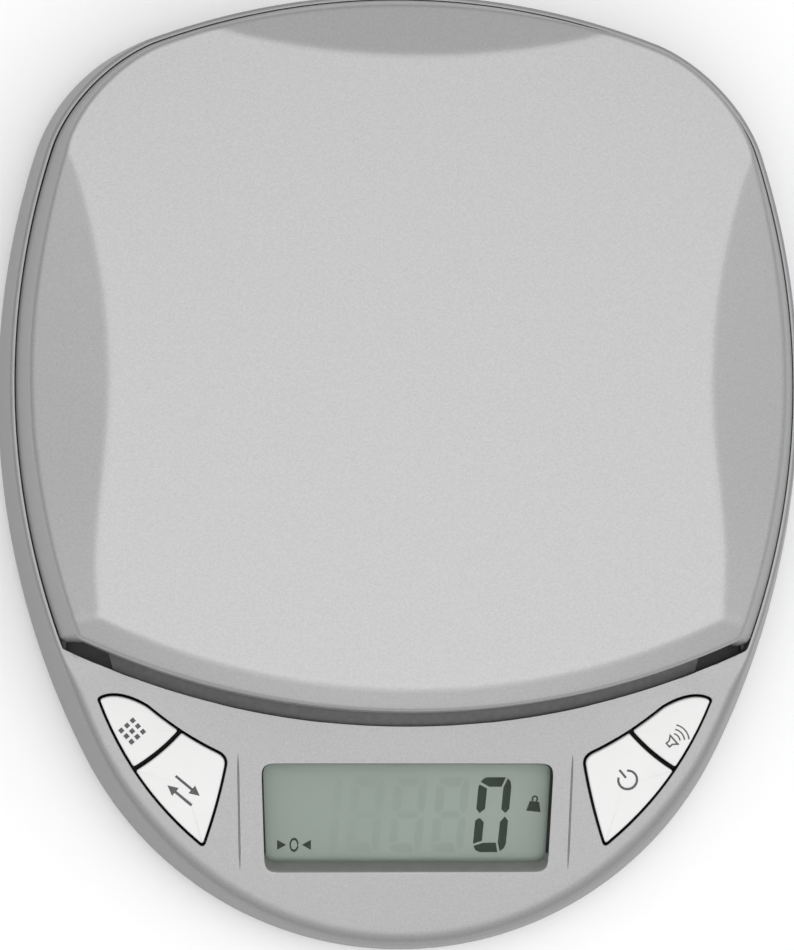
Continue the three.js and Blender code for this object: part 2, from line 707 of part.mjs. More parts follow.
// The platform's outer form, or the same form moved in by its wall and down by its skin.
function platformForm(inset, lowered) {
  const top = PLATFORM_TOP - lowered;
  const body = outlineBody([
    [lowered ? PLATFORM_BOTTOM - 5 : PLATFORM_BOTTOM, 4.4 + inset, CORNER_PULL],
    [30, 5.9 + inset, CORNER_PULL],
    [top - 2.6, 7.3 + inset, CORNER_PULL],
    [top - 1, 8.0 + inset, CORNER_PULL],
    [top, 9.0 + inset, CORNER_PULL],
  ]);
  const side = SIDE_FACET.getPoints(14);
  const other = side.map((p) => new THREE.Vector2(-p.x, p.y));
  const back = arcPoints(BACK_FACET_Y, BACK_FACET_RADIUS, 70, 14);
  const front = arcPoints(PLATFORM_FRONT_Y + FRONT_BAND, PLATFORM_FRONT_RADIUS - 12, 75, 14);
  return cut(body, [
    wedge(side, new THREE.Vector2(1, 0), FACET_FALL, lowered),
    wedge(other, new THREE.Vector2(-1, 0), FACET_FALL, lowered),
    wedge(back, new THREE.Vector2(0, 1), FACET_FALL, lowered),
    wedge(front, new THREE.Vector2(0, -1), FRONT_BAND_FALL, lowered),
    frontRegion(PLATFORM_FRONT_Y + inset, PLATFORM_FRONT_RADIUS),
  ]);
}

function addPlatform() {
  const shell = cut(platformForm(0, 0), [platformForm(PLATFORM_WALL, PLATFORM_SKIN)]);
  const at = POST_Y.flatMap((y) => [-POST_X, POST_X].map((x) => [x, y]));
  const roof = PLATFORM_TOP - PLATFORM_SKIN + 0.5;
  const sockets = at.map(([x, y]) =>
    cut(cylinder(POST_RADIUS + 2, x, y, 30, roof, 20), [cylinder(POST_RADIUS + 0.35, x, y, 20, roof - 0.5, 20)]),
  );
  add("platform", joined([shell, ...sockets]), silverPlastic);
}

// ---------------------------------------------------------------- display and board
function addDisplay() {
  const middle = (WINDOW_BACK + WINDOW_FRONT + WINDOW_SLOPE_RUN) / 2;
  add("display_window", prism(roundedRectangle(29, 10.6, 1.5, middle), -3.4, -2.3), clearWindow, panel);
  const glass = joined([
    box(-28, 28, middle - 9.6, middle + 9.6, -4.8, -3.7),
    box(-28, 28, middle - 9.6, middle + 12, -5.9, -4.79),
  ]);
  add("display_glass", glass, displayGlass, panel);
  const frame = cut(prism(roundedRectangle(30.6, 13.1, 1.5, middle + 2.1), PCB_TOP + 0.3, -4.3), [
    box(-28.4, 28.4, middle - 10, middle + 12.4, -6.3, 0),
    box(-25, 25, middle - 8, middle + 7, -20, 0),
    box(-27, 27, middle + 8.4, middle + 11.6, -20, 0),
  ]);
  add("display_frame", frame, darkPlastic, panel);
  add("contact_strip", box(-26.5, 26.5, middle + 8.9, middle + 11.1, PCB_TOP + 0.05, -6.2), rubber, panel);
}

function addBoard() {
  const centreY = (frontCentre.y - PANEL_CORNER_Y) / Math.cos(PANEL_SLOPE);
  const backEdge = -7;
  const start = Math.asin((backEdge - centreY) / PCB_RADIUS);
  const steps = 20;
  const points = [];
  for (let i = 0; i <= steps; i++) {
    const angle = start - ((Math.PI + 2 * start) * i) / steps;
    points.push(new THREE.Vector2(PCB_RADIUS * Math.cos(angle), centreY + PCB_RADIUS * Math.sin(angle)));
  }
  const holes = PCB_SCREWS.map(([x, y]) => cylinder(1 + SCREW_GAP, x, y, -20, 0, 12));
  const underside = PCB_TOP - PCB_THICKNESS;
  add("main_board", cut(prism(points.reverse(), underside, PCB_TOP), holes), boardGreen, panel);
  add("controller_blob", joined([resinDome(8, -26, underside)]), blobBlack, panel);
  add("buzzer", cylinder(6, -14, -27, underside - 3.2, underside - 0.05, 24), darkPlastic, panel);
  PCB_SCREWS.forEach(([x, y], i) => {
    const screw = joined([
      cylinder(2.1, x, y, underside - 1.2, underside - 0.05, 12),
      cylinder(1, x, y, underside - 0.2, -4, 8),
    ]);
    add(`board_screw_${i + 1}`, screw, steel, panel);
  });
}

// The low dome of resin over the controller chip, hanging under the board.
function resinDome(x, y, top) {
  const profile = [[0, -1.5], [3, -1.3], [5, -0.7], [6, 0], [0, 0]].map(
    ([r, h]) => new THREE.Vector2(r, h),
  );
  return new THREE.LatheGeometry(profile, 20).rotateX(Math.PI / 2).translate(x, y, top - 0.05);
}

// ---------------------------------------------------------------- wires and label
function addWires() {
  const cable = [
    [-33.2, 17.5, 12.5],
    [-39, 12, 11.5],
    [-41, -2, 9.5],
    [-36, -18, 8.5],
    [-22, -30, 8.4],
    [-12, -38, 9.2],
    [-8, -42, 10.6],
  ];
  add("load_cell_cable", tube(cable, 1.1, 18), greyWire);
  const lead = (rise) => [
    [18, 46, 7.0 + rise],
    [20, 40, 6.0 + rise],
    [38, 30, 5.6 + rise],
    [41, 8, 5.8 + rise],
    [36, -14, 6.4 + rise],
    [22, -32, 8.2 + rise],
    [14, -41, 10.2 + rise],
  ];
  add("battery_lead_positive", tube(lead(0), 0.6, 18), redWire);
  add("battery_lead_negative", tube(lead(1.6), 0.6, 18), blackWire);
}

const addLabel = () =>
  add("rating_label", prism(roundedRectangle(19, 10, 1.5, -22), 1.75, 1.98), labelWhite);

addLowerHousing();
addUpperHousing();
addFeet();
addHousingScrews();
addBatteryBay();
addLoadCell();
addCarrier();
addPlatform();
addButtons();
addSwitches();
addDisplay();
addBoard();
addWires();
addLabel();

export default scale;
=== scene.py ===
"""A compact counting and portion scale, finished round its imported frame.

Lengths are in millimetres in the frame's axes, and become metres where a mesh is made.
"""

import json
import math

import bmesh
import bpy
import numpy as np
from mathutils import Matrix, Vector


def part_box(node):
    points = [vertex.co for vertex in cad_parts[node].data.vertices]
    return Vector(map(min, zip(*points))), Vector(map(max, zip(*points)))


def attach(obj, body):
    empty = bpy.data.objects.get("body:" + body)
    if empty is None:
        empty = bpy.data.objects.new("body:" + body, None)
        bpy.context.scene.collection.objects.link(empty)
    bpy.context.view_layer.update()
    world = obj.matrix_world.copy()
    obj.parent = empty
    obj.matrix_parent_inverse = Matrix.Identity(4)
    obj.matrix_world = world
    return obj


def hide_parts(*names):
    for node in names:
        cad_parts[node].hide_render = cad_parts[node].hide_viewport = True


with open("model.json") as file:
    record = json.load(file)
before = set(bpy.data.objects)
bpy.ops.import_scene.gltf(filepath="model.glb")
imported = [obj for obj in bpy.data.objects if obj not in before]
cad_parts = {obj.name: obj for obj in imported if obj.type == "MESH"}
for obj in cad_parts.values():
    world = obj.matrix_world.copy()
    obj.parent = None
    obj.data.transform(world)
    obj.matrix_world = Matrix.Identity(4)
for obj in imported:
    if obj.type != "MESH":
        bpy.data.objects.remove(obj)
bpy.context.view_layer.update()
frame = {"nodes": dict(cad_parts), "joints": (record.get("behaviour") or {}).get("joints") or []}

MM = 0.001


def extent(node):
    """A CAD node's lowest and highest corners, in millimetres."""
    low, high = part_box(node)
    return np.array(low) / MM, np.array(high) / MM


# ---------------- driving dimensions
HALF_WIDTH = 76.5  # of the casing, at its widest
WIDEST_Y = 15.45
BACK_RADIUS = 140.4  # the arcs of half the plan outline, from the back
BACK_TURN = math.radians(20.4)
CORNER_RADIUS = 34.5
CORNER_TURN = math.radians(52.7)
FRONT_START = math.radians(27.5)

TRAY_BOTTOM = extent("lower_housing")[0][2]
TRAY_FLOOR = TRAY_BOTTOM + 2.2
SEAM_TOP = 6.5
COVER_BOTTOM = extent("upper_housing")[0][2]
DECK_TOP = 20.2  # the shelf under the platform
DECK_UNDERSIDE = 18.4
RIM_TOP = extent("upper_housing")[1][2]
SKIRT_FOOT_INSET = 0.15
SKIRT_LEAN = 2.95  # how much further in the cover's side is at the rim
SKIRT_CURVE = 1.15
RIM_EDGE = 0.72  # the rounded edge's width at the back
WALL = 2.0
RIM_INNER_INSET = 4.0  # insets are measured in from the plan outline
CORNER_PULL = 0.9  # the rim and platform lean in this much more at the four corners

PRESS_AXIS = next(j["axis"] for j in frame["joints"] if j["name"] == "button_unit_press")
PANEL_SLOPE = math.asin(PRESS_AXIS[1])
PANEL_COS, PANEL_SIN = math.cos(PANEL_SLOPE), math.sin(PANEL_SLOPE)
PANEL_CORNER_Y = -36.7
PANEL_CORNER_Z = 24.3
PANEL_THICKNESS = 2.0
PANEL_BACK_Y = -49.2
PANEL_BACK_RADIUS = 148.0

PLATFORM_BOTTOM = extent("platform")[0][2]
PLATFORM_TOP = extent("platform")[1][2]
PLATFORM_FRONT_Y = -46.8
PLATFORM_FRONT_RADIUS = 143.0
PLATFORM_INSET = 7.3
PLATFORM_FLARE = 3.17  # how far its sides have moved out down at the rim
PLATFORM_SHOULDER = 35.4
PLATFORM_EDGE = 0.9  # how far down the side its rounded edge starts
PLATFORM_WALL = 2.0
PLATFORM_SKIN = 2.2
FACET_FALL = 0.24
BACK_FACET_Y = 73.4
BACK_FACET_RADIUS = 145.0
FRONT_BAND = 4.4
FRONT_BAND_FALL = 0.36
SIDE_FACET = [(57.5, -60), (56.4, -34), (56.9, -17), (55.1, 5)]
SIDE_FACET += [(55.0, 18), (56.6, 33), (61.4, 52), (72.0, 77)]

WINDOW_HALF_TOP = 26.8
WINDOW_HALF_BOTTOM = 26.0
WINDOW_BACK = -20.0
WINDOW_FRONT = -39.8
WINDOW_CORNER = 1.9
WINDOW_SLOPE_RUN = 1.5
DISPLAY_SHIFT = 0.4  # the display sits this far right of the middle
WINDOW_MIDDLE = (WINDOW_BACK + WINDOW_FRONT + WINDOW_SLOPE_RUN) / 2
GROOVE_X = [31.05, 30.5]
GROOVE_Y = [-18.0, -39.6]

BUTTON_GAP = 0.45  # round a pair of keys
BUTTON_SPLIT = 0.85  # between the two
BUTTON_PROUD = 0.6
BUTTON_BOTTOM = -4.4
CAP_EDGE = 0.32
CAP_FLANGE = 0.3
CAP_FLANGE_TOP = -2.6
CAP_BLACK_BELOW = -0.12  # the sides are black up to here

POSTS = [(x, y) for x in (-42, 42) for y in (-12, 52)]
HOUSING_SCREWS = [(-48, 66), (48, 66), (-55, -26), (55, -26)]
CELL_Y = 20  # the load cell's middle
CELL_SCREWS = [(-20, CELL_Y), (-28, CELL_Y)]
CELL_HOLE = 2.3
SCREW_HOLE = 1.8
SCREW_DOME = [(0.5, 0), (0.8, 0.12), (0.96, 0.4), (1.0, 0.7)]  # (share of radius, height)
THREAD_PITCH = 0.6
FEET = [(-50, 52), (50, 52), (-42, -56), (42, -56)]
FOOT_RADIUS = 6.0
BATTERY_Y = 62.0
BATTERY_HALF = (25.0, 14.0)
NOTCH_DEPTH = 1.5
NOTCH_CORNERS = [(-63.0, -39.0), (-53.6, -40.5), (-55.6, -33.5), (-62.6, -30.5)]  # on the left

CORNER_POINTS = 7  # of a rounded corner


# ---------------- small mathematics
def smoothstep(low, high, value):
    t = np.clip((value - low) / (high - low), 0, 1)
    return t * t * (3 - 2 * t)


def soft_max(a, b, blend):
    return (a + b + np.sqrt((a - b) ** 2 + blend**2)) / 2


def soft_min(a, b, blend):
    return (a + b - np.sqrt((a - b) ** 2 + blend**2)) / 2


def bend(start, middle, end, t):
    """A point along a quadratic curve."""
    return (1 - t) ** 2 * start + 2 * t * (1 - t) * middle + t**2 * end


def arc_y(x, middle_y, radius):
    """Height in plan of an arc that bows to the front, through (0, middle_y)."""
    return middle_y + radius - np.sqrt(radius**2 - np.minimum(np.abs(x), radius * 0.99) ** 2)


def spline(points, per_span):
    """A Catmull-Rom curve through points."""
    p = np.array([points[0], *points, points[-1]], float)
    t = np.linspace(0, 1, per_span, endpoint=False)[:, None]
    spans = []
    for a, b, c, d in zip(p, p[1:], p[2:], p[3:]):
        cubic = (d - a + 3 * (b - c)) * t**3 + (2 * a - 5 * b + 4 * c - d) * t**2
        spans.append(0.5 * (cubic + (c - a) * t) + b)
    return np.vstack([*spans, p[-1:]])


def on_panel(points):
    """Points given on the front panel, with its face at w = 0, in the frame's axes."""
    u, v, w = np.asarray(points, float).T
    y = PANEL_CORNER_Y + v * PANEL_COS - w * PANEL_SIN
    return np.column_stack([u, y, PANEL_CORNER_Z + v * PANEL_SIN + w * PANEL_COS])


def off_panel(points):
    """The reverse of on_panel."""
    x, y, z = np.asarray(points, float).T
    y, z = y - PANEL_CORNER_Y, z - PANEL_CORNER_Z
    return np.column_stack([x, y * PANEL_COS + z * PANEL_SIN, z * PANEL_COS - y * PANEL_SIN])


def panel_z(y):
    return PANEL_CORNER_Z + (y - PANEL_CORNER_Y) * math.tan(PANEL_SLOPE)


# ---------------- closed outlines in plan
def resampled(points, spacing):
    """A closed outline's rows at even steps along it. Rows may hold more than x and y."""
    closed = np.vstack([points, points[:1]])
    run = np.concatenate([[0], np.cumsum(np.linalg.norm(np.diff(closed[:, :2], axis=0), axis=1))])
    count = max(12, round(run[-1] / spacing))
    at = np.arange(count) * run[-1] / count
    return np.column_stack([np.interp(at, run, column) for column in closed.T])


def softened(points, radius, spacing):
    """A closed outline at even steps, with its corners rounded to about a radius."""
    even = resampled(np.asarray(points, float), spacing)
    sigma = radius / 1.6
    reach = math.ceil(2.5 * sigma / spacing)
    weights = [math.exp(-0.5 * (k * spacing / sigma) ** 2) for k in range(-reach, reach + 1)]
    blurred = sum(w * np.roll(even, k, axis=0) for w, k in zip(weights, range(-reach, reach + 1)))
    return blurred / sum(weights)


def normals(points):
    """Unit outward normals of a counter-clockwise outline."""
    along = np.roll(points[:, :2], -1, axis=0) - np.roll(points[:, :2], 1, axis=0)
    outward = np.column_stack([along[:, 1], -along[:, 0]])
    return outward / np.linalg.norm(outward, axis=1)[:, None]


def offset(points, distance):
    """An outline moved outwards, by one distance or one for each point."""
    return points[:, :2] + normals(points) * np.reshape(distance, (-1, 1))


def rounded_rectangle(half_x, half_y, radius, x=0.0, y=0.0):
    points = []
    for sx, sy, start in [(1, 1, 0), (-1, 1, 90), (-1, -1, 180), (1, -1, 270)]:
        middle_x = x + sx * (half_x - radius)
        middle_y = y + sy * (half_y - radius)
        for angle in np.radians(np.linspace(start, start + 90, CORNER_POINTS)):
            points.append((middle_x + radius * math.cos(angle), middle_y + radius * math.sin(angle)))
    return np.array(points)


def behind_arc(points, middle_y, radius):
    """The part of a closed outline behind an arc. It starts along the arc, from left to right."""
    depth = points[:, 1] - arc_y(points[:, 0], middle_y, radius)
    first = int(np.argmax(depth > 0))
    share = depth[first - 1] / (depth[first - 1] - depth[first])
    corner = points[first - 1] + share * (points[first] - points[first - 1])
    x = np.linspace(-corner[0], corner[0], 120)
    front = np.column_stack([x, arc_y(x, middle_y, radius)])
    return np.vstack([front, points[depth > 0]])


def plan_samples():
    """Centre, radius and facing angle at each point of the plan outline, from the middle front."""
    back_end = math.pi / 2 - BACK_TURN
    side_start = back_end - CORNER_TURN
    corner_reach = CORNER_RADIUS * (math.cos(side_start) - math.cos(back_end))
    side = (HALF_WIDTH - BACK_RADIUS * math.cos(back_end) - corner_reach) / (1 - math.cos(side_start))
    front = (HALF_WIDTH - side * (1 - math.cos(FRONT_START))) / math.cos(FRONT_START)

    def step(centre, distance, angle):
        return centre + distance * np.array([math.cos(angle), math.sin(angle)])

    side_centre = np.array([HALF_WIDTH - side, WIDEST_Y])
    front_centre = step(side_centre, side - front, -FRONT_START)
    corner_centre = step(side_centre, side - CORNER_RADIUS, side_start)
    back_centre = step(corner_centre, CORNER_RADIUS - BACK_RADIUS, back_end)
    arcs = [
        (front_centre, front, -math.pi / 2, -FRONT_START, 70),
        (side_centre, side, -FRONT_START, side_start, 90),
        (corner_centre, CORNER_RADIUS, side_start, back_end, 40),
        (back_centre, BACK_RADIUS, back_end, math.pi / 2, 40),
    ]
    rows = []
    for centre, radius, start, end, count in arcs:
        for angle in np.linspace(start, end, count, endpoint=False):
            rows.append((*centre, radius, angle))
    rows.append((*back_centre, BACK_RADIUS, math.pi / 2))
    half = np.array(rows)
    other = half[-2:0:-1] * [-1, 1, 1, -1] + [0, 0, 0, math.pi]
    return np.vstack([half, other])


PLAN = plan_samples()
FACING = np.column_stack([np.cos(PLAN[:, 3]), np.sin(PLAN[:, 3])])
AT_CORNERS = np.sin(2 * PLAN[:, 3]) ** 2


def ring(inset, z, pull=0.0):
    """The plan outline moved in by an inset, at a height. Each may differ from point to point."""
    reach = PLAN[:, 2] - inset - pull * AT_CORNERS
    xy = PLAN[:, :2] + reach[:, None] * FACING
    return np.column_stack([xy, np.broadcast_to(z, len(xy))])


# ---------------- meshes
def add_object(name, data):
    made = bpy.data.objects.new(name, data)
    bpy.context.scene.collection.objects.link(made)
    return made


def loft(name, rings, place=None):
    """A closed body through rings of equal length, each counter-clockwise as the rings rise."""
    rings = [np.asarray(r, float) for r in rings]
    if place:
        rings = [place(r) for r in rings]
    count = len(rings[0])
    here = np.arange(count)
    after = np.roll(here, -1)
    quads = [
        np.column_stack([here, after, after + count, here + count]) + level * count
        for level in range(len(rings) - 1)
    ]
    faces = np.vstack(quads).tolist()
    faces.append(here[::-1].tolist())
    faces.append((here + (len(rings) - 1) * count).tolist())
    mesh = bpy.data.meshes.new(name)
    mesh.from_pydata((np.vstack(rings) * MM).tolist(), [], faces)
    mesh.validate()
    return add_object(name, mesh)


def flat_ring(points, z):
    return np.column_stack([points[:, :2], np.broadcast_to(z, len(points))])


def quarter_round(edge, steps=3):
    """Pairs of how far in and how far along, round an edge of that radius, from its outside."""
    angles = [math.radians(90 * k / steps) for k in range(1, steps + 1)]
    return [(edge * (1 - math.cos(a)), edge * math.sin(a)) for a in angles]


def plate(name, points, low, high, edge, place=None):
    """A flat plate with a plan outline and rounded edges, top and bottom."""
    turn = quarter_round(edge)
    rings = [flat_ring(offset(points, -inward), low + edge - along) for inward, along in turn[::-1]]
    rings += [flat_ring(points, low + edge), flat_ring(points, high - edge)]
    rings += [flat_ring(offset(points, -inward), high - edge + along) for inward, along in turn]
    return loft(name, rings, place)


def turned(name, profile, x=0.0, y=0.0, sides=48):
    """A body turned about an upright axis, from (radius, height) pairs, bottom to top."""
    angles = np.arange(sides) * 2 * math.pi / sides
    circle = np.column_stack([np.cos(angles), np.sin(angles)])
    return loft(name, [flat_ring(circle * max(radius, 0.01) + [x, y], z) for radius, z in profile])


def turned_at(places, name, profile, sides=48):
    return [turned(name, profile, x, y, sides) for x, y in places]


def settle(made):
    """Applies an object's modifiers."""
    graph = bpy.context.evaluated_depsgraph_get()
    mesh = bpy.data.meshes.new_from_object(made.evaluated_get(graph))
    made.modifiers.clear()
    mesh.materials.clear()
    made.data = mesh


def combined(made, others, operation="DIFFERENCE"):
    """Cuts the others from a body, or joins them to it, and removes them."""
    for other in others:
        modifier = made.modifiers.new("combine", "BOOLEAN")
        modifier.solver = "MANIFOLD"
        modifier.operation = operation
        modifier.object = other
    settle(made)
    for other in others:
        bpy.data.objects.remove(other)
    return made


def smoothed(made, angle):
    """Smooth shading with sharp edges past an angle, and flats that stay flat."""
    made.data.shade_smooth()
    made.data.set_sharp_from_angle(angle=math.radians(angle))
    made.modifiers.new("even_normals", "WEIGHTED_NORMAL").keep_sharp = True


def piece(made, body, slot, material, *nodes, angle=34):
    """Finishes an object as a piece of the scale, in place of CAD nodes."""
    smoothed(made, angle)
    if not made.data.materials:
        made.data.materials.append(material)
    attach(made, body)
    if nodes:
        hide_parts(*nodes)


# ---------------- materials
class Shader:
    """A Principled material under construction, with its textures in object space."""

    def __init__(self, name, colour, roughness, **plain):
        self.material = bpy.data.materials.new(name)
        self.material.use_nodes = True
        self.nodes = self.material.node_tree.nodes
        self.links = self.material.node_tree.links
        self.surface = self.nodes["Principled BSDF"]
        self.colour = colour
        self.set(Base_Color=(*colour, 1), Roughness=roughness, **plain)
        self.place = self.nodes.new("ShaderNodeTexCoord").outputs["Object"]

    def noise(self, size, detail=2.0, stretch=None):
        """Noise whose features are about size millimetres across."""
        texture = self.nodes.new("ShaderNodeTexNoise")
        texture.inputs["Scale"].default_value = 1 / (size * MM)
        texture.inputs["Detail"].default_value = detail
        place = self.place
        if stretch:
            mapping = self.nodes.new("ShaderNodeMapping")
            mapping.inputs["Scale"].default_value = stretch
            self.links.new(place, mapping.inputs["Vector"])
            place = mapping.outputs["Vector"]
        self.links.new(place, texture.inputs["Vector"])
        return texture.outputs["Fac"]

    def ramp(self, value, stops):
        """Colours the surface by a value, through (position, colour) stops."""
        made = self.nodes.new("ShaderNodeValToRGB")
        elements = made.color_ramp.elements
        for k, (position, colour) in enumerate(stops):
            element = elements[k] if k < 2 else elements.new(position)
            element.position = position
            element.color = (*colour, 1)
        self.links.new(value, made.inputs["Fac"])
        self.links.new(made.outputs["Color"], self.surface.inputs["Base Color"])

    def shaded(self, share):
        return [min(1, c * (1 + share)) for c in self.colour]

    def vary(self, size, amount, detail=2.0, stretch=None, low=0.3, high=0.7):
        """Colour that drifts by a share of itself, over features of a size."""
        stops = [(low, self.shaded(-amount)), (high, self.shaded(amount))]
        self.ramp(self.noise(size, detail, stretch), stops)

    def speckle(self, size, amount):
        """Fine flakes, lighter and darker than the colour by a share."""
        stops = [(0.32, self.shaded(-amount)), (0.5, self.colour), (0.68, self.shaded(amount))]
        self.ramp(self.noise(size, 3.0), stops)

    def rough(self, size, low, high):
        """Roughness that wanders between two values."""
        mapped = self.nodes.new("ShaderNodeMapRange")
        mapped.inputs["To Min"].default_value = low
        mapped.inputs["To Max"].default_value = high
        self.links.new(self.noise(size), mapped.inputs["Value"])
        self.links.new(mapped.outputs["Result"], self.surface.inputs["Roughness"])

    def bump(self, size, height, detail=2.0, stretch=None):
        """Relief of a height in millimetres."""
        bump = self.nodes.new("ShaderNodeBump")
        bump.inputs["Distance"].default_value = height * MM
        self.links.new(self.noise(size, detail, stretch), bump.inputs["Height"])
        self.links.new(bump.outputs["Normal"], self.surface.inputs["Normal"])

    def set(self, **inputs):
        """Sets plain values, named as the shader's sockets with _ for a space."""
        for name, value in inputs.items():
            self.surface.inputs[name.replace("_", " ")].default_value = value


def silver_paint(name, tone):
    shader = Shader(name, (tone, tone, tone), 0.4, Metallic=0.7, Specular_Tint=(0.7, 0.7, 0.7, 1))
    shader.speckle(0.32, 0.065)
    shader.rough(0.5, 0.34, 0.42)
    shader.bump(0.3, 0.004)
    return shader.material


def finish(name, colour, roughness, vary, rough=None, bump=None, **plain):
    """A material, from the arguments of vary, rough and bump and from plain socket values."""
    shader = Shader(name, colour, roughness, **plain)
    shader.vary(*vary)
    if rough:
        shader.rough(*rough)
    if bump:
        shader.bump(*bump)
    return shader.material


def wire(name, colour):
    return finish(name, colour, 0.45, vary=(1.5, 0.12), bump=(0.5, 0.01))


ALONG_BEAM = (1, 14, 14)  # machining lines run along x

# Each finish has a colour and a roughness. Then come what vary, rough and bump take.
# The casing and the platform wear one silver paint. The casing's copy is a darker tone: painted shade,
# for the duller light on the cover's panel and sides.
SHADED_SILVER = silver_paint("casing_paint_shaded", 0.315)
BRIGHT_SILVER = silver_paint("platform_paint", 0.365)
# Black is the keys' own colour on their sides, and painted shade on the inner walls of the window and
# key openings.
BLACK_AND_SHADE = finish("black_and_wall_shade", (0.006, 0.006, 0.0065), 0.65, (1.5, 0.3), bump=(0.25, 0.01))
# The dark grey-green of the display window's sloping front wall is painted shade.
WINDOW_SLOPE_SHADE = finish("window_slope_shade", (0.165, 0.174, 0.16), 0.5, (2, 0.05), bump=(0.25, 0.006))
# The shelf's darker grey is painted shade: the shade that falls on it under the overhanging platform.
SHELF_SHADE = finish(
    "shelf_shade_grey", (0.155, 0.155, 0.155), 0.55, (1.2, 0.12), (0.6, 0.48, 0.6), (0.3, 0.012, 3)
)
WHITE = finish(
    "key_white", (0.73, 0.73, 0.725), 0.34, (6, 0.015), (3, 0.27, 0.34), (0.6, 0.0015), Coat_Weight=0.15
)
INK = finish("legend_ink", (0.07, 0.07, 0.072), 0.5, (0.4, 0.25), bump=(0.15, 0.002))
RUBBER = finish("rubber", (0.02, 0.02, 0.021), 0.8, (0.8, 0.35), (1, 0.7, 0.9), (0.35, 0.03, 4))
ALUMINIUM = finish(
    "machined_aluminium",
    (0.62, 0.63, 0.64),
    0.32,
    vary=(1.2, 0.06, 2.0, ALONG_BEAM),
    rough=(1, 0.26, 0.4),
    bump=(0.6, 0.006, 3, ALONG_BEAM),
    Metallic=1,
)
STEEL = finish(
    "zinc_steel", (0.55, 0.56, 0.57), 0.3, (1.5, 0.12), (0.8, 0.22, 0.42), (0.3, 0.004), Metallic=1
)
BRASS = finish(
    "contact_brass", (0.68, 0.5, 0.2), 0.28, (2, 0.1), (1, 0.2, 0.4), (0.4, 0.004), Metallic=1
)
GREY = finish("grey_plastic", (0.25, 0.26, 0.27), 0.55, (3, 0.06), (1, 0.48, 0.62), (0.22, 0.012, 3))
DARK = finish("dark_plastic", (0.028, 0.029, 0.032), 0.5, (2, 0.2), bump=(0.2, 0.01, 3))
SOLDER_MASK = finish(
    "solder_mask",
    (0.014, 0.12, 0.05),
    0.35,
    vary=(1.6, 0.35, 4, None, 0.42, 0.58),
    rough=(1, 0.28, 0.45),
    bump=(1, 0.02, 4),
)
RESIN = finish("resin", (0.008, 0.008, 0.01), 0.25, (1, 0.3), bump=(1.5, 0.05))
SILICONE = finish("silicone", (0.72, 0.72, 0.68), 0.5, (2, 0.04), bump=(1.2, 0.04))
LABEL = finish("label_paper", (0.8, 0.8, 0.79), 0.55, (4, 0.02), bump=(0.3, 0.004))
CRYSTAL = finish(
    "liquid_crystal",
    (0.24, 0.288, 0.252),
    0.32,
    vary=(22, 0.035, 1),
    rough=(4, 0.28, 0.36),
    bump=(3, 0.004),
    Specular_IOR_Level=0.3,
)
CRYSTAL_BACK = finish("liquid_crystal_edge", (0.1, 0.12, 0.1), 0.3, (5, 0.1), bump=(2, 0.004))
SEGMENT = finish(
    "segment_on", (0.018, 0.03, 0.021), 0.4, (3, 0.12), bump=(1, 0.001), Specular_IOR_Level=0.05
)
GHOST = finish(
    "segment_ghost", (0.228, 0.275, 0.24), 0.34, (6, 0.02), bump=(1, 0.001), Specular_IOR_Level=0.3
)
LENS = finish("clear_lens", (0.9, 0.94, 0.92), 0.05, (30, 0.02), (8, 0.03, 0.08), Alpha=0.012, IOR=1.49)
LENS.surface_render_method = "BLENDED"


# ---------------- upper cover
def cover_rise(z):
    """A height as a share of the way from the cover's foot to its rim."""
    return (z - COVER_BOTTOM) / (RIM_TOP - COVER_BOTTOM)


def skirt_inset(z):
    """How far in the cover's side leans at a height."""
    return SKIRT_FOOT_INSET + SKIRT_LEAN * np.maximum(cover_rise(z), 0) ** SKIRT_CURVE


def skirt_ring(z, inwards=0.0):
    return ring(skirt_inset(z) + inwards, z, CORNER_PULL * cover_rise(z))


def cover_top(y):
    """Height of the cover's upper side: the flat rim, or the sloping panel in front of it."""
    return soft_min(RIM_TOP, panel_z(y), 0.06)


def close_over(rings, shares, height):
    """Closes the last ring towards the middle, at the heights of a surface that depends on y."""
    last = rings[-1]
    for share in shares:
        disc = last * [share, share, 1]
        disc[:, 2] = height(disc[:, 1])
        rings.append(disc)


def cover_skin():
    """The cover's outer form, filled."""
    base = COVER_BOTTOM + 0.4
    rings = [ring(0.5, COVER_BOTTOM), ring(0.2, COVER_BOTTOM + 0.12), ring(0.15, base)]
    edge = skirt_ring(np.full(len(PLAN), RIM_TOP))
    for _ in range(5):  # the side leans, so its y and the height there settle together
        height = cover_top(edge[:, 1])
        edge = skirt_ring(height)
    front = 1.1 * smoothstep(-35, -45, edge[:, 1]) + 0.8 * smoothstep(-50, -76, edge[:, 1])
    across = RIM_EDGE + front
    start = height - 0.85 * across
    for share in np.linspace(0, 1, 8)[1:]:
        rings.append(skirt_ring(base + share * (start - base)))
    foot = rings[-1]
    inner = skirt_ring(height, across)
    inner[:, 2] = cover_top(inner[:, 1])
    rings += [bend(foot, edge, inner, t) for t in np.linspace(0, 1, 10)[1:]]
    close_over(rings, (0.985, 0.95, 0.88, 0.6, 0.3, 0.02), cover_top)
    return loft("upper_cover", rings)


def recess_plan():
    plan = behind_arc(ring(RIM_INNER_INSET, 0, CORNER_PULL)[:, :2], PANEL_BACK_Y, PANEL_BACK_RADIUS)
    return softened(plan, 0.5, 0.55)


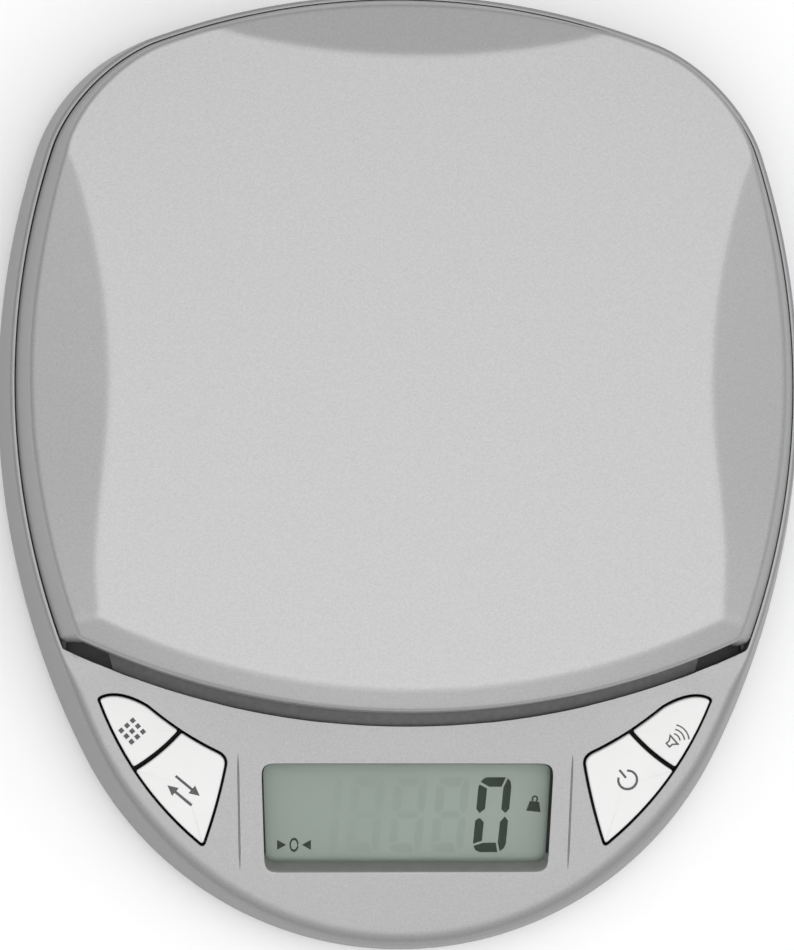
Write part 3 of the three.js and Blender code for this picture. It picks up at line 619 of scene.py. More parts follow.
def deck_recess():
    """The space over the shelf, with a rounded foot and eased edges at the top."""
    plan = recess_plan()
    top = cover_top(plan[:, 1])
    steps = [(-0.6, DECK_TOP), (-0.18, DECK_TOP + 0.18), (0, DECK_TOP + 0.6)]
    rings = [flat_ring(offset(plan, out), z) for out, z in steps]
    for out, below in [(0, 0.12), (0.02, 0.05), (0.07, 0.01), (0.11, 0), (0.13, -0.5), (0.13, -20)]:
        rings.append(flat_ring(offset(plan, out), top - below))
    return loft("recess", rings)


def front_region(middle_y, radius):
    """Everything in front of an arc."""
    x = np.linspace(-90, 90, 90)
    arc = np.column_stack([x, arc_y(x, middle_y, radius)])
    plan = np.vstack([[(-90, -110), (90, -110)], arc[::-1]])
    return loft("front", [flat_ring(plan, -10), flat_ring(plan, 60)])


def low_cavity():
    """The hollow under the shelf and panel."""

    def roof(y):
        return soft_min(DECK_UNDERSIDE, panel_z(y) - PANEL_THICKNESS - 0.2, 0.2)

    rings = [ring(WALL + 0.15, SEAM_TOP - 0.5)]
    base = COVER_BOTTOM - 0.1
    top = roof(ring(WALL + 1.5, 0)[:, 1])
    rings += [skirt_ring(base + share * (top - base), WALL) for share in np.linspace(0, 1, 6)]
    close_over(rings, (0.9, 0.75, 0.55, 0.3, 0.02), roof)
    return loft("low_cavity", rings)


def high_cavity():
    """The deeper hollow under the panel, in front of the shelf."""
    floor = 12.0

    def roof(y):
        return np.maximum(panel_z(y) - PANEL_THICKNESS - 0.05, floor + 0.3)

    plan = ring(WALL + 2.6, 0)
    rings = [ring(WALL + 1.2, floor), flat_ring(plan, roof(plan[:, 1]))]
    close_over(rings, (0.8, 0.5, 0.02), roof)
    made = loft("high_cavity", rings)
    return combined(made, [front_region(PANEL_BACK_Y - 1.8, PANEL_BACK_RADIUS)], "INTERSECT")


def window_face():
    """The display opening at the panel's face, narrowing to the front."""
    corners = [
        (-WINDOW_HALF_BOTTOM, WINDOW_FRONT),
        (WINDOW_HALF_BOTTOM, WINDOW_FRONT),
        (WINDOW_HALF_TOP, WINDOW_BACK),
        (-WINDOW_HALF_TOP, WINDOW_BACK),
    ]
    return softened(corners, WINDOW_CORNER, 0.4) + [DISPLAY_SHIFT, 0]


def window_cutter():
    """The opening: near upright at the back and sides, sloping at the front, its edges eased."""
    face = window_face()
    depth = PANEL_THICKNESS + 0.6
    share = np.clip((WINDOW_BACK - face[:, 1]) / (WINDOW_BACK - WINDOW_FRONT), 0, 1)

    def wall(w):
        moved = offset(face, 0.3 * max(0, 1 + w / 1.4))
        moved[:, 1] += WINDOW_SLOPE_RUN * share * (-w / depth) ** 0.8
        return flat_ring(moved, w)

    rings = [wall(w) for w in (-depth, -2, -1.4, -0.8, -0.3, -0.06)]
    for out, w in [(0.34, -0.02), (0.42, 0.0), (0.45, 0.3), (0.45, 4)]:
        rings.append(flat_ring(offset(face, out), w))
    return loft("window", rings, on_panel)


def groove_cutter(side):
    """A fine line pressed into the panel, pointed at its ends."""
    (x_back, x_front), (y_back, y_front) = GROOVE_X, GROOVE_Y
    sections = []
    for t in np.linspace(0, 1, 25):
        x = side * (x_front + t * (x_back - x_front))
        y = y_front + t * (y_back - y_front)
        fade = min(1, 6 * min(t, 1 - t)) ** 0.6
        half = 0.05 + 0.17 * fade
        deep = 0.04 + 0.16 * fade
        right = [(half, 0.04), (half * 0.45, -deep * 0.75)]
        left = [(-a, w) for a, w in right[::-1]]
        section = [*right, (0, -deep), *left, (-half, 1.0), (half, 1.0)]
        sections.append(np.array([(x + a, y, w) for a, w in section[::-1]]))
    return outward(loft("groove", sections[::side], on_panel))


def outward(made):
    """Turns a closed body's faces out, if they face in."""
    shape = bmesh.new()
    shape.from_mesh(made.data)
    if shape.calc_volume(signed=True) < 0:
        bmesh.ops.reverse_faces(shape, faces=shape.faces)
    shape.to_mesh(made.data)
    shape.free()
    return made


# The left pair's opening in the panel, as the ends and middle of each quadratic edge.
PAIR_START = (-56.7, -8.2)
PAIR_EDGES = [
    ((-57.2, -7.5), (-56.3, -7.1)),
    ((-53.0, -5.6), (-47.6, -8.7)),
    ((-40.75, -14.4), (-34.6, -17.3)),
    ((-32.7, -18.3), (-33.1, -20.1)),
    ((-34.4, -27.1), (-36.9, -34.6)),
    ((-37.3, -35.6), (-38.1, -34.8)),
    ((-50.7, -24.1), (-56.7, -8.2)),
]


def pair_plan():
    """The left opening, counter-clockwise."""
    points = []
    start = np.array(PAIR_START)
    for middle, end in np.array(PAIR_EDGES):
        points += [bend(start, middle, end, t) for t in np.linspace(0, 1, 12, endpoint=False)]
        start = end
    return softened(points[::-1], 0.35, 0.3)


def handed(points, side):
    """A left-hand outline, or its mirror image for the right-hand side."""
    return points if side < 0 else (points * [-1, 1])[::-1]


PAIR_PLAN = pair_plan()


def pair_cutter(side):
    plan = handed(PAIR_PLAN, side)
    steps = [(0, -7), (0, -0.16), (0.04, -0.05), (0.12, 0), (0.14, 0.3), (0.14, 3)]
    return loft("pair", [flat_ring(offset(plan, out), w) for out, w in steps], on_panel)


def notch_plan(side):
    """A drain notch in the shelf, at a front corner of the platform."""
    return handed(softened(NOTCH_CORNERS, 0.6, 0.4), side)


def inside(points, outline):
    """Which points in plan lie inside a closed outline."""
    x, y = points.T
    hits = np.zeros(len(points), bool)
    for (x0, y0), (x1, y1) in zip(outline, np.roll(outline, -1, axis=0)):
        if y0 == y1:
            continue
        crosses = (y0 > y) != (y1 > y)
        hits ^= crosses & (x < x0 + (y - y0) * (x1 - x0) / (y1 - y0))
    return hits


def mask_openings(made):
    """Colours the cover's faces by where they are: silver paint, and painted shade on the shelf, in its
    notches and on the inner walls of the window and key openings.
    """
    for material in (SHADED_SILVER, BLACK_AND_SHADE, WINDOW_SLOPE_SHADE, SHELF_SHADE, DARK):
        made.data.materials.append(material)
    painted, wall_shade, slope_shade, shelf, notch = range(5)
    centres = np.array([face.center / MM for face in made.data.polygons])
    height = centres[:, 2]
    on_face = off_panel(centres)
    below = (on_face[:, 2] < -0.03) & (on_face[:, 2] > -1.2 * PANEL_THICKNESS)
    on_shelf = (height < DECK_TOP + 0.3) & (height > DECK_TOP - 0.05)
    in_shelf = (height < DECK_TOP - 0.05) & (height > DECK_UNDERSIDE + 0.05)
    # The shelf takes the darker grey: painted shade under the platform.
    index = np.where(on_shelf & inside(centres[:, :2], recess_plan()), shelf, painted)
    in_window = below & inside(on_face[:, :2], offset(window_face(), 0.6))
    at_front = on_face[:, 1] < WINDOW_FRONT + 2 * WINDOW_SLOPE_RUN
    # Inside the window the side and back walls are black and the sloping front wall dark grey-green:
    # painted shade.
    index[in_window] = np.where(at_front[in_window], slope_shade, wall_shade)
    for side in (-1, 1):
        pair = offset(handed(PAIR_PLAN, side), 0.3)
        # The key openings' inner walls are black: painted shade.
        index[below & inside(on_face[:, :2], pair)] = wall_shade
        # The notches' walls and floors take the dark plastic colour: painted shade in these deep
        # corners.
        index[in_shelf & inside(centres[:, :2], offset(notch_plan(side), 0.3))] = notch
    made.data.polygons.foreach_set("material_index", index)


def notch_cutter(side):
    plan = notch_plan(side)
    return loft("notch", [flat_ring(plan, DECK_TOP - NOTCH_DEPTH), flat_ring(plan, DECK_TOP + 0.2)])


def build_cover():
    made = cover_skin()
    slot = plate("carrier_slot", rounded_rectangle(12.5, 10, 2, 22.5, CELL_Y), 15, 30, 0.3)
    cutters = [deck_recess(), low_cavity(), high_cavity()]
    cutters += [notch_cutter(side) for side in (-1, 1)]
    cutters += [slot, window_cutter()]
    cutters += [groove_cutter(side) for side in (-1, 1)]
    cutters += [pair_cutter(side) for side in (-1, 1)]
    combined(made, cutters)
    post = [(2.9, 8.9), (3.6, 9.3), (3.6, 18.9)]
    combined(made, turned_at(HOUSING_SCREWS, "boss", post, 32), "UNION")
    bore = [(SCREW_HOLE, 5), (SCREW_HOLE, 16.5)]
    combined(made, turned_at(HOUSING_SCREWS, "hole", bore, 24))
    mask_openings(made)
    piece(made, "casing", "casing_silver", SHADED_SILVER, "upper_housing", angle=30)


# ---------------- platform
FACET_LINE = spline(SIDE_FACET, 16)


def facet_drop(xy):
    """How far the platform's top has fallen at points in plan."""
    x, y = xy[..., 0], xy[..., 1]
    side = FACET_FALL * (np.abs(x) - np.interp(y, FACET_LINE[:, 1], FACET_LINE[:, 0]))
    back = FACET_FALL * (y - arc_y(x, BACK_FACET_Y, BACK_FACET_RADIUS))
    band = arc_y(x, PLATFORM_FRONT_Y + FRONT_BAND, PLATFORM_FRONT_RADIUS - 12)
    front = FRONT_BAND_FALL * (band - y)
    return np.maximum(np.maximum(side, back), front)


def platform_height(xy):
    return PLATFORM_TOP - soft_max(0, facet_drop(xy), 0.03)


def platform_plan():
    """The platform's outline, with each point's share of the flare: none along the front."""
    around = ring(PLATFORM_INSET, 0, CORNER_PULL)[:, :2]
    behind = behind_arc(around, PLATFORM_FRONT_Y, PLATFORM_FRONT_RADIUS)
    line = arc_y(behind[:, 0], PLATFORM_FRONT_Y, PLATFORM_FRONT_RADIUS)
    flare = np.where(behind[:, 1] - line > 0.01, 1.0, 0.0)
    return softened(np.column_stack([behind, flare]), 0.9, 0.8)


def crease_shares(inner, centre):
    """Where each line from the centre to the inner outline meets the first facet."""
    shares = np.linspace(0.3, 1, 700)
    rays = centre + shares[:, None, None] * (inner - centre)
    fallen = facet_drop(rays) > 0
    found = np.where(fallen.any(axis=0), shares[np.argmax(fallen, axis=0)], 1.0)
    return np.minimum(found, 0.992)


def platform_top_rings(inner, lowered=0.0):
    """Rings from near the centre outwards, doubled along the creases."""
    centre = np.array([0.0, 12.0])
    crease = crease_shares(inner, centre)
    reach = np.linalg.norm(inner - centre, axis=1)
    rings = []
    for share in (0.02, 0.4, 0.8):
        rings.append(centre + (share * crease)[:, None] * (inner - centre))
    for step in (-1.1, -0.35, 0.35, 1.1):
        share = np.minimum(crease + step / reach, 0.996 + 0.003 * step)
        rings.append(centre + share[:, None] * (inner - centre))
    last = rings[-1]
    for share in (0.35, 0.7, 1.0):
        rings.append(last + share * (inner - last))
    return [flat_ring(r, platform_height(r) - lowered) for r in rings]


def platform_skin():
    """The cap as one closed sheet: up its underside, round its foot, up its side and over."""
    plan = platform_plan()
    xy, flare = plan[:, :2], plan[:, 2]
    facing = normals(plan)

    def side(z, inwards=0.0):
        lean = np.clip((PLATFORM_SHOULDER - z) / (PLATFORM_SHOULDER - RIM_TOP), 0, 1)
        out = PLATFORM_FLARE * lean * flare - inwards
        return flat_ring(xy + facing * out[:, None], z)

    rim = platform_height(xy)
    bottom = np.full(len(plan), PLATFORM_BOTTOM)
    round_in = 0.8 + 0.15 * flare
    shoulder = xy - facing * round_in[:, None]
    shoulder = flat_ring(shoulder, platform_height(shoulder))
    corner = side(rim)
    foot = side(rim - PLATFORM_EDGE)
    roof = offset(plan, -round_in - PLATFORM_WALL)
    wall_top = rim - PLATFORM_SKIN - 1.6
    side_bottom = bottom + 0.35
    rings = platform_top_rings(roof, PLATFORM_SKIN)
    for z in (wall_top, (wall_top + bottom) / 2, bottom + 0.3):
        rings.append(side(z, PLATFORM_WALL))
    rings += [side(bottom, PLATFORM_WALL - 0.3), side(bottom, 0.35), side(bottom + 0.1, 0.1)]
    for share in (0.0, 0.15, 0.35, 0.6, 0.85):
        rings.append(side(side_bottom + share * (rim - PLATFORM_EDGE - side_bottom)))
    rings += [bend(foot, corner, shoulder, t) for t in np.linspace(0, 1, 9)[:-1]]
    rings += platform_top_rings(shoulder[:, :2])[::-1]
    return loft("platform_cap", rings)


def build_platform():
    made = platform_skin()
    socket = [(6.0, 30), (6.0, PLATFORM_TOP - PLATFORM_SKIN + 0.5)]
    combined(made, turned_at(POSTS, "socket", socket, 40), "UNION")
    bore = [(4.6, 29), (4.6, 30.2), (4.35, 30.5), (4.35, 35.8)]
    combined(made, turned_at(POSTS, "bore", bore, 40))
    piece(made, "platform", "casing_silver", BRIGHT_SILVER, "platform", angle=40)


# ---------------- lower tray and what is under it
def tray_shell():
    outer = [(2.0, 3.4), (2.06, 2.7), (2.3, 1.95), (2.7, 1.3), (3.2, 0.75), (3.8, 0.3)]
    outer += [(4.4, 0.06), (5.0, 0.0), (6.1, 0.04), (6.38, 0.12), (SEAM_TOP, 0.4)]
    inner = [(WALL + 0.9, TRAY_FLOOR), (WALL + 0.4, TRAY_FLOOR + 0.5), (WALL + 0.3, 12)]
    hollow = loft("hollow", [ring(inset, z) for inset, z in inner])
    return combined(loft("lower_tray", [ring(inset, z) for z, inset in outer]), [hollow])


def tray_solids():
    """Screw bosses, the wall round the battery pocket and the load cell's seat."""
    boss = [(4.4, 3), (4.4, 8.2), (4.1, 8.5)]
    (half_x, half_y), wall = BATTERY_HALF, 1.6
    pocket = rounded_rectangle(half_x + wall, half_y + wall, 2, 0, BATTERY_Y)
    seat = rounded_rectangle(9.25, 7.5, 1, -24.25, CELL_Y)
    solids = turned_at(HOUSING_SCREWS, "boss", boss, 32)
    return [*solids, plate("pocket_shell", pocket, 3, 9.8, 0.3), plate("cell_seat", seat, 3, 5.2, 0.2)]


def tray_cutters():
    """The battery pocket, the screws' wells and holes, and the seats of the feet."""
    pocket = rounded_rectangle(*BATTERY_HALF, 1.6, 0, BATTERY_Y)
    mouth = [(0.35, 0.0), (0.3, 2.02), (0.05, 2.25), (0.0, 2.6), (0.0, 8.2)]
    cutters = [loft("pocket", [flat_ring(offset(pocket, out), z) for out, z in mouth])]
    wells = [
        (HOUSING_SCREWS, [(3.4, 0), (3.3, 2.0), (3.1, 2.2), (3.1, 4.6)], SCREW_HOLE, (4.5, 10)),
        (CELL_SCREWS, [(3.75, 0), (3.65, 2.0), (3.5, 2.2), (3.5, 3.9)], CELL_HOLE, (3.5, 8)),
    ]
    for places, well, radius, heights in wells:
        hole = [(radius, z) for z in heights]
        for x, y in places:
            cutters += [turned("well", well, x, y), turned("hole", hole, x, y, 24)]
    return cutters + turned_at(FEET, "seat", [(FOOT_RADIUS + 0.4, 0), (FOOT_RADIUS + 0.3, 2.8)])


def build_tray():
    made = tray_shell()
    combined(made, tray_solids(), "UNION")
    combined(made, tray_cutters())
    piece(made, "casing", "casing_silver", SHADED_SILVER, "lower_housing", angle=32)


def build_battery_cover():
    (half_x, half_y), gap = BATTERY_HALF, 0.4
    low, high = extent("battery_door")
    plan = rounded_rectangle(half_x - gap, half_y - gap, 1.5, 0, BATTERY_Y)
    made = plate("battery_cover", plan, low[2], high[2], 0.22)
    grips = []
    for k in range(5):
        line = rounded_rectangle(7 - 0.5 * k, 0.38, 0.37, 0, high[1] - 3.6 - 1.7 * k)
        steps = [(0.35, -0.5), (0.28, 0.05), (0.0, 0.3), (-0.2, 0.42)]
        grips.append(loft("grip", [flat_ring(offset(line, out), low[2] + up) for out, up in steps]))
    combined(made, grips)
    piece(made, "battery_door", "casing_silver", SHADED_SILVER, "battery_door")


def build_feet():
    profile = [(0.01, 0.25), (3.0, 0.25), (3.25, 0.0), (5.0, 0.0), (5.35, 0.12), (5.6, 0.45)]
    profile += [(5.95, 1.0), (6.0, 1.5), (6.0, 2.3), (5.85, 2.5)]
    for k, (x, y) in enumerate(FEET, 1):
        made = turned(f"foot_pad_{k}", profile, x, y, 64)
        piece(made, "casing", "black_rubber", RUBBER, f"rubber_foot_{k}", angle=40)


def build_coin_cells():
    """Each cell has its can facing the cover and its smaller lid above, past a seal groove."""
    can = [(0.01, 4.3), (9.2, 4.3), (9.75, 4.42), (10.0, 4.8), (10.0, 6.9), (9.8, 7.1)]
    lid = [(8.9, 7.15), (8.8, 7.0), (8.4, 7.0), (8.3, 7.38), (7.9, 7.5)]
    for k, x in enumerate((-11.5, 11.5), 1):
        made = turned(f"cell_{k}", can + lid, x, BATTERY_Y, 72)
        piece(made, "casing", "steel", STEEL, f"coin_cell_{k}", angle=35)


def cross_recess(radius, low, high):
    """A tapered cross-shaped cutter that opens downwards, round (0, 0)."""
    arm, half = radius, radius * 0.24
    quarter = [(arm, -half), (arm, half), (half, half)]
    plan = []
    for _ in range(4):
        plan += quarter
        quarter = [(-y, x) for x, y in quarter]
    steps = [(1.12, 0), (1.0, 0.4), (0.5, 1)]
    return [flat_ring(np.array(plan) * size, low + t * (high - low)) for size, t in steps]


def rising_screw(name, x, y, head, shank, node):
    """A pan-head screw, head down, from (radius, bottom, top) of its head and (radius, tip)."""
    (head_radius, low, high), (radius, tip) = head, shank
    root = radius * 0.8
    profile = [(head_radius * share, low + up) for share, up in SCREW_DOME]
    profile += [(head_radius, high), (radius, high + 0.05)]
    for k in range(int((tip - high - 1.5) / THREAD_PITCH)):
        z = high + THREAD_PITCH * (k + 1)
        profile += [(root, z), (radius, z + THREAD_PITCH / 2)]
    profile += [(root, tip - 0.8), (0.1, tip)]
    made = turned(name, profile, x, y, 40)
    rings = [r + [x, y, 0] for r in cross_recess(head_radius * 0.55, low - 0.2, low + 0.9)]
    combined(made, [loft("cross", rings)])
    piece(made, "casing", "steel", STEEL, node, angle=35)


def build_screws():
    for k, (x, y) in enumerate(HOUSING_SCREWS, 1):
        rising_screw(f"cover_screw_{k}", x, y, (2.8, 2.6, 4.3), (1.5, 16), f"housing_screw_{k}")
    for k, (x, y) in enumerate(CELL_SCREWS, 1):
        rising_screw(f"cell_screw_{k}", x, y, (3.2, 2.3, 3.8), (2.0, 14), f"load_cell_screw_{k}")


# ---------------- keys
SLIT_MIDDLE = np.array([-45.9, -17.0])
SLIT_ALONG = np.array([0.7615, 0.648])
SLIT_ACROSS = np.array([-0.648, 0.7615])
SLIT_BOW = -0.5


def slit_bow(along):
    return SLIT_BOW * (1 - np.minimum(1, (along / 6) ** 2))


def cap_plan(part):
    """The left pair's outer (part 1) or inner (part -1) cap in plan."""
    whole = offset(PAIR_PLAN, -BUTTON_GAP)
    along = (whole - SLIT_MIDDLE) @ SLIT_ALONG
    across = (whole - SLIT_MIDDLE) @ SLIT_ACROSS - slit_bow(along)
    kept = part * across > BUTTON_SPLIT / 2
    start = int(np.argmax(kept & ~np.roll(kept, 1)))
    run = np.roll(whole, -start, axis=0)[: int(kept.sum())]
    ends = [(run[k] - SLIT_MIDDLE) @ SLIT_ALONG for k in (-1, 0)]
    s = np.linspace(*ends, 26)
    cut = SLIT_MIDDLE + s[:, None] * SLIT_ALONG
    cut = cut + (slit_bow(s) + part * BUTTON_SPLIT / 2)[:, None] * SLIT_ACROSS
    return softened(np.vstack([run, cut]), 0.4, 0.22)


def cap_fall(points, crease):
    """How far the top has fallen at points on the left-hand side, in front of a soft crease."""
    ahead = (crease - points) @ np.array([0.4, 0.917])
    return 0.055 * soft_max(0, ahead, 0.5)


def build_cap(name, node, part, side, crease):
    """A key's cap: a flange under the panel, upright sides, and a rounded top that falls a little."""
    plan = handed(cap_plan(part), side)
    flange = offset(plan, CAP_FLANGE)
    lower = [flat_ring(flange, BUTTON_BOTTOM), flat_ring(flange, CAP_FLANGE_TOP)]
    lower += [flat_ring(plan, CAP_FLANGE_TOP + 0.05), flat_ring(plan, -0.2)]
    edge_foot = BUTTON_PROUD - CAP_EDGE
    upper = [flat_ring(plan, edge_foot)]
    for inward, along in quarter_round(CAP_EDGE, 4):
        upper.append(flat_ring(offset(plan, -inward), edge_foot + along))
    inner = offset(plan, -CAP_EDGE)
    middle = inner.mean(axis=0)
    for share in (0.96, 0.85, 0.7, 0.55, 0.4, 0.25, 0.1, 0.02):
        upper.append(flat_ring(middle + share * (inner - middle), BUTTON_PROUD))
    for r in upper:
        r[:, 2] -= cap_fall(r[:, :2] * [-side, 1], np.array(crease))
    made = loft(name, lower + upper, on_panel)
    made.data.materials.append(WHITE)
    made.data.materials.append(BLACK_AND_SHADE)
    heights = off_panel([face.center / MM for face in made.data.polygons])[:, 2]
    made.data.polygons.foreach_set("material_index", (heights < CAP_BLACK_BELOW).astype(int))
    piece(made, node, "button_white", WHITE, node, angle=50)


def stroke(points, width):
    """The outline of a line of a width."""
    points = np.asarray(points, float)
    along = np.gradient(points, axis=0)
    along /= np.linalg.norm(along, axis=1)[:, None]
    sideways = np.column_stack([along[:, 1], -along[:, 0]]) * width / 2
    return np.vstack([points + sideways, (points - sideways)[::-1]])


def arc_stroke(x, y, radius, start, end, width, count=24):
    angles = np.radians(np.linspace(start, end, count))
    points = np.column_stack([x + radius * np.cos(angles), y + radius * np.sin(angles)])
    return stroke(points, width)


def printed(name, shapes, low, high, body, slot, material):
    """Thin flat shapes on the panel, from outlines in its plane."""
    parts = []
    for shape in shapes:
        after = np.roll(shape, -1, axis=0)
        area = np.sum(shape[:, 0] * after[:, 1] - after[:, 0] * shape[:, 1])
        shape = shape if area > 0 else shape[::-1]
        parts.append(loft(name, [flat_ring(shape, low), flat_ring(shape, high)], on_panel))
    first = parts[0]
    if len(parts) > 1:
        with bpy.context.temp_override(active_object=first, selected_editable_objects=parts):
            bpy.ops.object.join()
    first.name = name
    piece(first, body, slot, material, angle=20)


def turned_to(shape, angle, x, y, size=1.0):
    """A shape drawn round the origin, turned, scaled and moved."""
    a = math.radians(angle)
    rotation = np.array([[math.cos(a), math.sin(a)], [-math.sin(a), math.cos(a)]])
    return np.asarray(shape, float) * size @ rotation + [x, y]


def counting_mark():
    """Nine small squares, for counting pieces."""
    half = 0.42
    square = np.array([(-half, -half), (half, -half), (half, half), (-half, half)])
    return [square + [1.4 * i, 1.4 * j] for i in (-1, 0, 1) for j in (-1, 0, 1)]


def swap_mark():
    """Two arrows that point opposite ways, for changing the unit."""
    head = [(1.0, -0.95), (2.9, 0.0), (1.0, 0.95)]
    arrow = np.array([(-2.9, -0.24), (1.0, -0.24), *head, (1.0, 0.24), (-2.9, 0.24)])
    return [arrow + [0, 1.15], -arrow - [0, 1.15]]


def power_mark():
    """A broken ring with a bar, for on and zero."""
    ring_part = arc_stroke(0, 0, 1.75, 125, 415, 0.42, 40)
    bar = np.array([(-0.21, 0.5), (0.21, 0.5), (0.21, 2.45), (-0.21, 2.45)])
    return [ring_part, bar]


def speaker_outline(back, neck, front, half_neck, half_front):
    right = [(back, -half_neck), (neck, -half_neck), (front, -half_front)]
    return np.array(right + [(x, -y) for x, y in right[::-1]])


def sound_mark():
    """A loudspeaker's outline and three waves."""
    horn = speaker_outline(-2.3, -1.5, -0.5, 0.6, 1.4)
    bore = speaker_outline(-2.02, -1.4, -0.8, 0.32, 0.8)
    after = [np.roll(shape, -1, axis=0) for shape in (horn, bore)]
    sides = [np.array(corners) for corners in zip(horn, after[0], after[1], bore)]
    return sides + [arc_stroke(-1.2, 0, radius, -34, 34, 0.26) for radius in (1.55, 2.4, 3.25)]


# A key's piece, its CAD node, its part and side of the pair, its mark, and the mark's place and turn.
KEYS = [
    ("key_count", "button_count", 1, -1, counting_mark, (-50.5, -13.5), -48),
    ("key_unit", "button_unit", -1, -1, swap_mark, (-41.0, -24.6), -40),
    ("key_power", "button_power", -1, 1, power_mark, (41.3, -22.6), 40),
    ("key_sound", "button_sound", 1, 1, sound_mark, (50.3, -14.6), 42),
]


def build_keys():
    for name, node, part, side, mark, (u, v), angle in KEYS:
        build_cap(name, node, part, side, (-abs(u), v))
        shapes = [turned_to(shape, angle, u, v) for shape in mark()]
        low, high = BUTTON_PROUD - 0.03, BUTTON_PROUD + 0.02
        printed(name + "_mark", shapes, low, high, node, "button_white", INK)


# ---------------- display
DIGIT_PITCH = 7.9
DIGIT_LEAN = 0.08
SEGMENTS = {
    "a": [(0.35, 12.95), (0.75, 13.5), (1.35, 13.8), (4.85, 13.8), (4.2, 12.05), (1.95, 12.05)],
    "b": [(5.2, 13.6), (5.75, 13.1), (6.0, 12.1), (6.0, 8.0), (5.35, 7.2), (4.55, 7.95), (4.55, 11.9)],
    "c": [(6.0, 5.8), (5.35, 6.6), (4.55, 5.6), (4.5, 1.8), (5.0, 0.15), (5.7, 0.75), (6.0, 1.6)],
    "d": [(0.1, 1.15), (0.6, 0.35), (1.4, 0.0), (4.6, 0.0), (4.15, 1.75), (1.85, 1.75)],
    "e": [(0.0, 1.55), (1.6, 2.1), (1.6, 5.55), (0.75, 6.35), (0.0, 5.8)],
    "f": [(0.15, 12.5), (0.0, 11.9), (0.0, 8.0), (0.65, 7.2), (1.6, 8.0), (1.6, 11.75)],
    "g": [(0.95, 6.9), (1.75, 7.6), (4.35, 7.6), (5.05, 6.9), (4.35, 6.2), (1.75, 6.2)],
}
ZERO_AT = (12.9, -37.15)
DIGIT_SCALE = 1.03
CRYSTAL_TOP = -3.7


def digit(letters, place):
    """A digit's segments, placed by how many digits to the right of the zero it is."""
    shapes = []
    for letter in letters:
        shape = DIGIT_SCALE * np.array(SEGMENTS[letter])
        x = ZERO_AT[0] + place * DIGIT_PITCH + shape[:, 0] + DIGIT_LEAN * shape[:, 1]
        shapes.append(np.column_stack([x, ZERO_AT[1] + shape[:, 1]]))
    return shapes


def zero_mark():
    """Two arrowheads that point at a small ring: the load reads zero."""
    head = np.array([(-3.0, -0.9), (-1.4, 0.0), (-3.0, 0.9)])
    ring_part = arc_stroke(0, 0, 0.85, 0, 352, 0.34, 40)
    return [head, -head, ring_part * [0.8, 1.25]]


def weight_mark():
    """A small weight with a ring handle."""
    body = np.array([(-1.25, -1.2), (1.25, -1.2), (0.8, 0.55), (-0.8, 0.55)])
    handle = arc_stroke(0, 1.0, 0.42, -60, 240, 0.28, 30)
    return [body, handle]


def display_plate(name, half, radius, middle, levels, edge, material, slot, *nodes):
    plan = rounded_rectangle(*half, radius, 0, middle)
    made = plate(name, plan, *levels, edge, on_panel)
    piece(made, "casing", slot, material, *nodes)


def display_inks():
    """What the display shows: each printed piece's shapes and material."""
    zero = [turned_to(shape, 0, -20.4, -35.7, 1.05) for shape in zero_mark()]
    weight = [turned_to(shape, -6, 24.4, -28.1, 1.1) for shape in weight_mark()]
    inks = {
        "digit_zero": (digit("abcdef", 0), SEGMENT),
        "zero_indicator": (zero, SEGMENT),
        "unit_indicator": (weight, SEGMENT),
    }
    for k, letters in enumerate(["abcdefg", "abcdefg", "abcdefg", "bc"], 1):
        inks[f"digit_ghost_{k}"] = (digit(letters, -k), GHOST)
    return inks


def build_display():
    slot = "display_glass"
    top, foot = CRYSTAL_TOP, CRYSTAL_TOP - 1.1
    front, back, lens = (foot, top), (foot - 1.1, foot - 0.02), (-3.4, -2.35)
    middle = WINDOW_MIDDLE
    glass = ("display_glass", "display_glass")
    display_plate("crystal_panel", (28, 10.2), 0.3, middle - 0.4, front, 0.06, CRYSTAL, *glass)
    display_plate("crystal_back", (28, 10.8), 0.3, middle + 1.2, back, 0.06, CRYSTAL_BACK, slot)
    window = ("clear_window", "display_window")
    display_plate("display_lens", (29, 10.6), 1.5, middle, lens, 0.15, LENS, *window)
    for name, (shapes, material) in display_inks().items():
        high = top + (0.03 if material is SEGMENT else 0.012)
        printed(name, shapes, top - 0.02, high, "casing", slot, material)


# ---------------- carried-over nodes
def dress(material, *names, edge=0.0):
    """Gives CAD nodes a finish, and rounded edges of a radius."""
    for name in names:
        node = frame["nodes"][name]
        node.data.materials.clear()
        node.data.materials.append(material)
        if edge:
            bevel = node.modifiers.new("edges", "BEVEL")
            bevel.width = edge * MM
            bevel.segments = 2
            bevel.angle_limit = math.radians(50)
        smoothed(node, 32)


def dress_nodes():
    numbers = range(1, 5)
    dress(GREY, "platform_carrier", edge=0.35)
    dress(DARK, *[f"tact_switch_{k}" for k in numbers], "display_frame", "buzzer")
    dress(RUBBER, "contact_strip")
    dress(ALUMINIUM, "load_cell", "load_cell_base_spacer", "load_cell_top_spacer", edge=0.25)
    dress(STEEL, "load_cell_screw_3", "load_cell_screw_4")
    dress(STEEL, *[f"board_screw_{k}" for k in numbers])
    dress(BRASS, *[f"cell_contact_{k}" for k in numbers])
    dress(SOLDER_MASK, "main_board")
    dress(RESIN, "controller_blob")
    dress(SILICONE, "gauge_cover_top", "gauge_cover_bottom")
    dress(wire("wire_red", (0.42, 0.02, 0.015)), "battery_lead_positive")
    dress(wire("wire_black", (0.012, 0.012, 0.012)), "battery_lead_negative")
    dress(wire("wire_grey", (0.2, 0.21, 0.22)), "load_cell_cable")
    dress(LABEL, "rating_label")


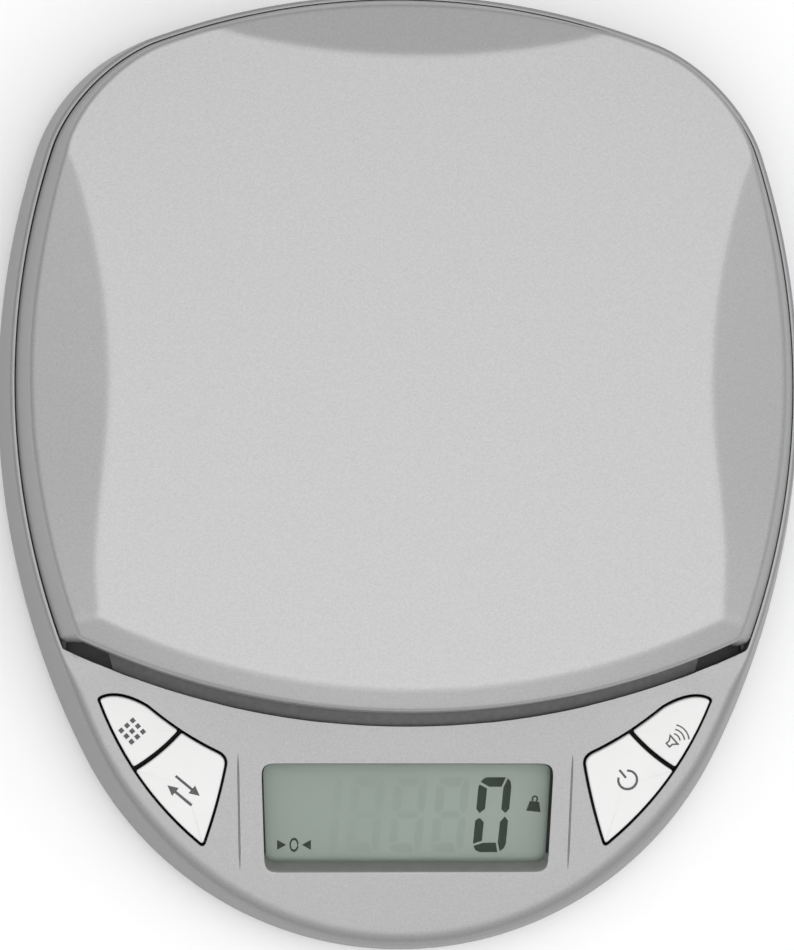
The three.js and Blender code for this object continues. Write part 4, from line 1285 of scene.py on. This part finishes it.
# ---------------- camera, light and floor
CAMERA_AT = (-44.45, -57.59, 650.0)
CAMERA_AIM = (-1.6, -2.36, 20.0)
CAMERA_LENS = 128.8
LIGHT_AT = (0.08, -0.16, 1.4)  # in metres, as its size is
LIGHT_SIZE = 1.6
LIGHT_POWER = 7.2


def add_camera():
    data = bpy.data.cameras.new("camera")
    data.lens = CAMERA_LENS
    data.sensor_width = 36
    data.clip_start, data.clip_end = 0.05, 20
    camera = add_object("camera", data)
    camera.location = Vector(CAMERA_AT) * MM
    backward = (Vector(CAMERA_AT) - Vector(CAMERA_AIM)).normalized()
    rightward = Vector((0, 1, 0)).cross(backward).normalized()
    axes = Matrix((rightward, backward.cross(rightward), backward)).transposed()
    camera.rotation_euler = axes.to_euler()
    bpy.context.scene.camera = camera


def add_overhead_light():
    data = bpy.data.lights.new("overhead", "AREA")
    data.shape = "DISK"
    data.size = LIGHT_SIZE
    data.energy = LIGHT_POWER
    light = add_object("overhead", data)
    light.location = LIGHT_AT
    light.rotation_euler = (-Vector(LIGHT_AT)).to_track_quat("-Z", "Y").to_euler()
    light.visible_camera = False


def add_floor():
    mesh = bpy.data.meshes.new("floor")
    mesh.from_pydata([(-6, -6, 0), (6, -6, 0), (6, 6, 0), (-6, 6, 0)], [], [(0, 1, 2, 3)])
    pale = finish("floor_white", (0.93, 0.93, 0.93), 0.9, (400, 0.004), Specular_IOR_Level=0.1)
    mesh.materials.append(pale)
    add_object("floor", mesh)


STUDIO_LIGHTEST_WAY = (0.16, -0.1, 0.98)
STUDIO_DIM, STUDIO_BRIGHT = 0.4, 1.04


def studio_world():
    """A pale room, brightest overhead, that dims evenly towards the floor."""
    world = bpy.data.worlds.new("studio")
    world.use_nodes = True
    nodes, links = world.node_tree.nodes, world.node_tree.links
    toward = nodes.new("ShaderNodeVectorMath")
    toward.operation = "DOT_PRODUCT"
    toward.inputs[1].default_value = STUDIO_LIGHTEST_WAY
    links.new(nodes.new("ShaderNodeTexCoord").outputs["Generated"], toward.inputs[0])
    level = nodes.new("ShaderNodeMapRange")
    limits = {"From Min": -0.1, "From Max": 0.95, "To Min": STUDIO_DIM, "To Max": STUDIO_BRIGHT}
    for name, value in limits.items():
        level.inputs[name].default_value = value
    links.new(toward.outputs["Value"], level.inputs["Value"])
    links.new(level.outputs["Result"], nodes["Background"].inputs["Strength"])
    nodes["Background"].inputs["Color"].default_value = (1, 1, 1, 1)
    return world


def light_scene():
    scene = bpy.context.scene
    scene.view_settings.view_transform = "Standard"
    scene.world = studio_world()
    add_overhead_light()


add_camera()
build_cover()
build_platform()
build_tray()
build_battery_cover()
build_feet()
build_screws()
build_coin_cells()
build_keys()
build_display()
dress_nodes()
add_floor()
light_scene()
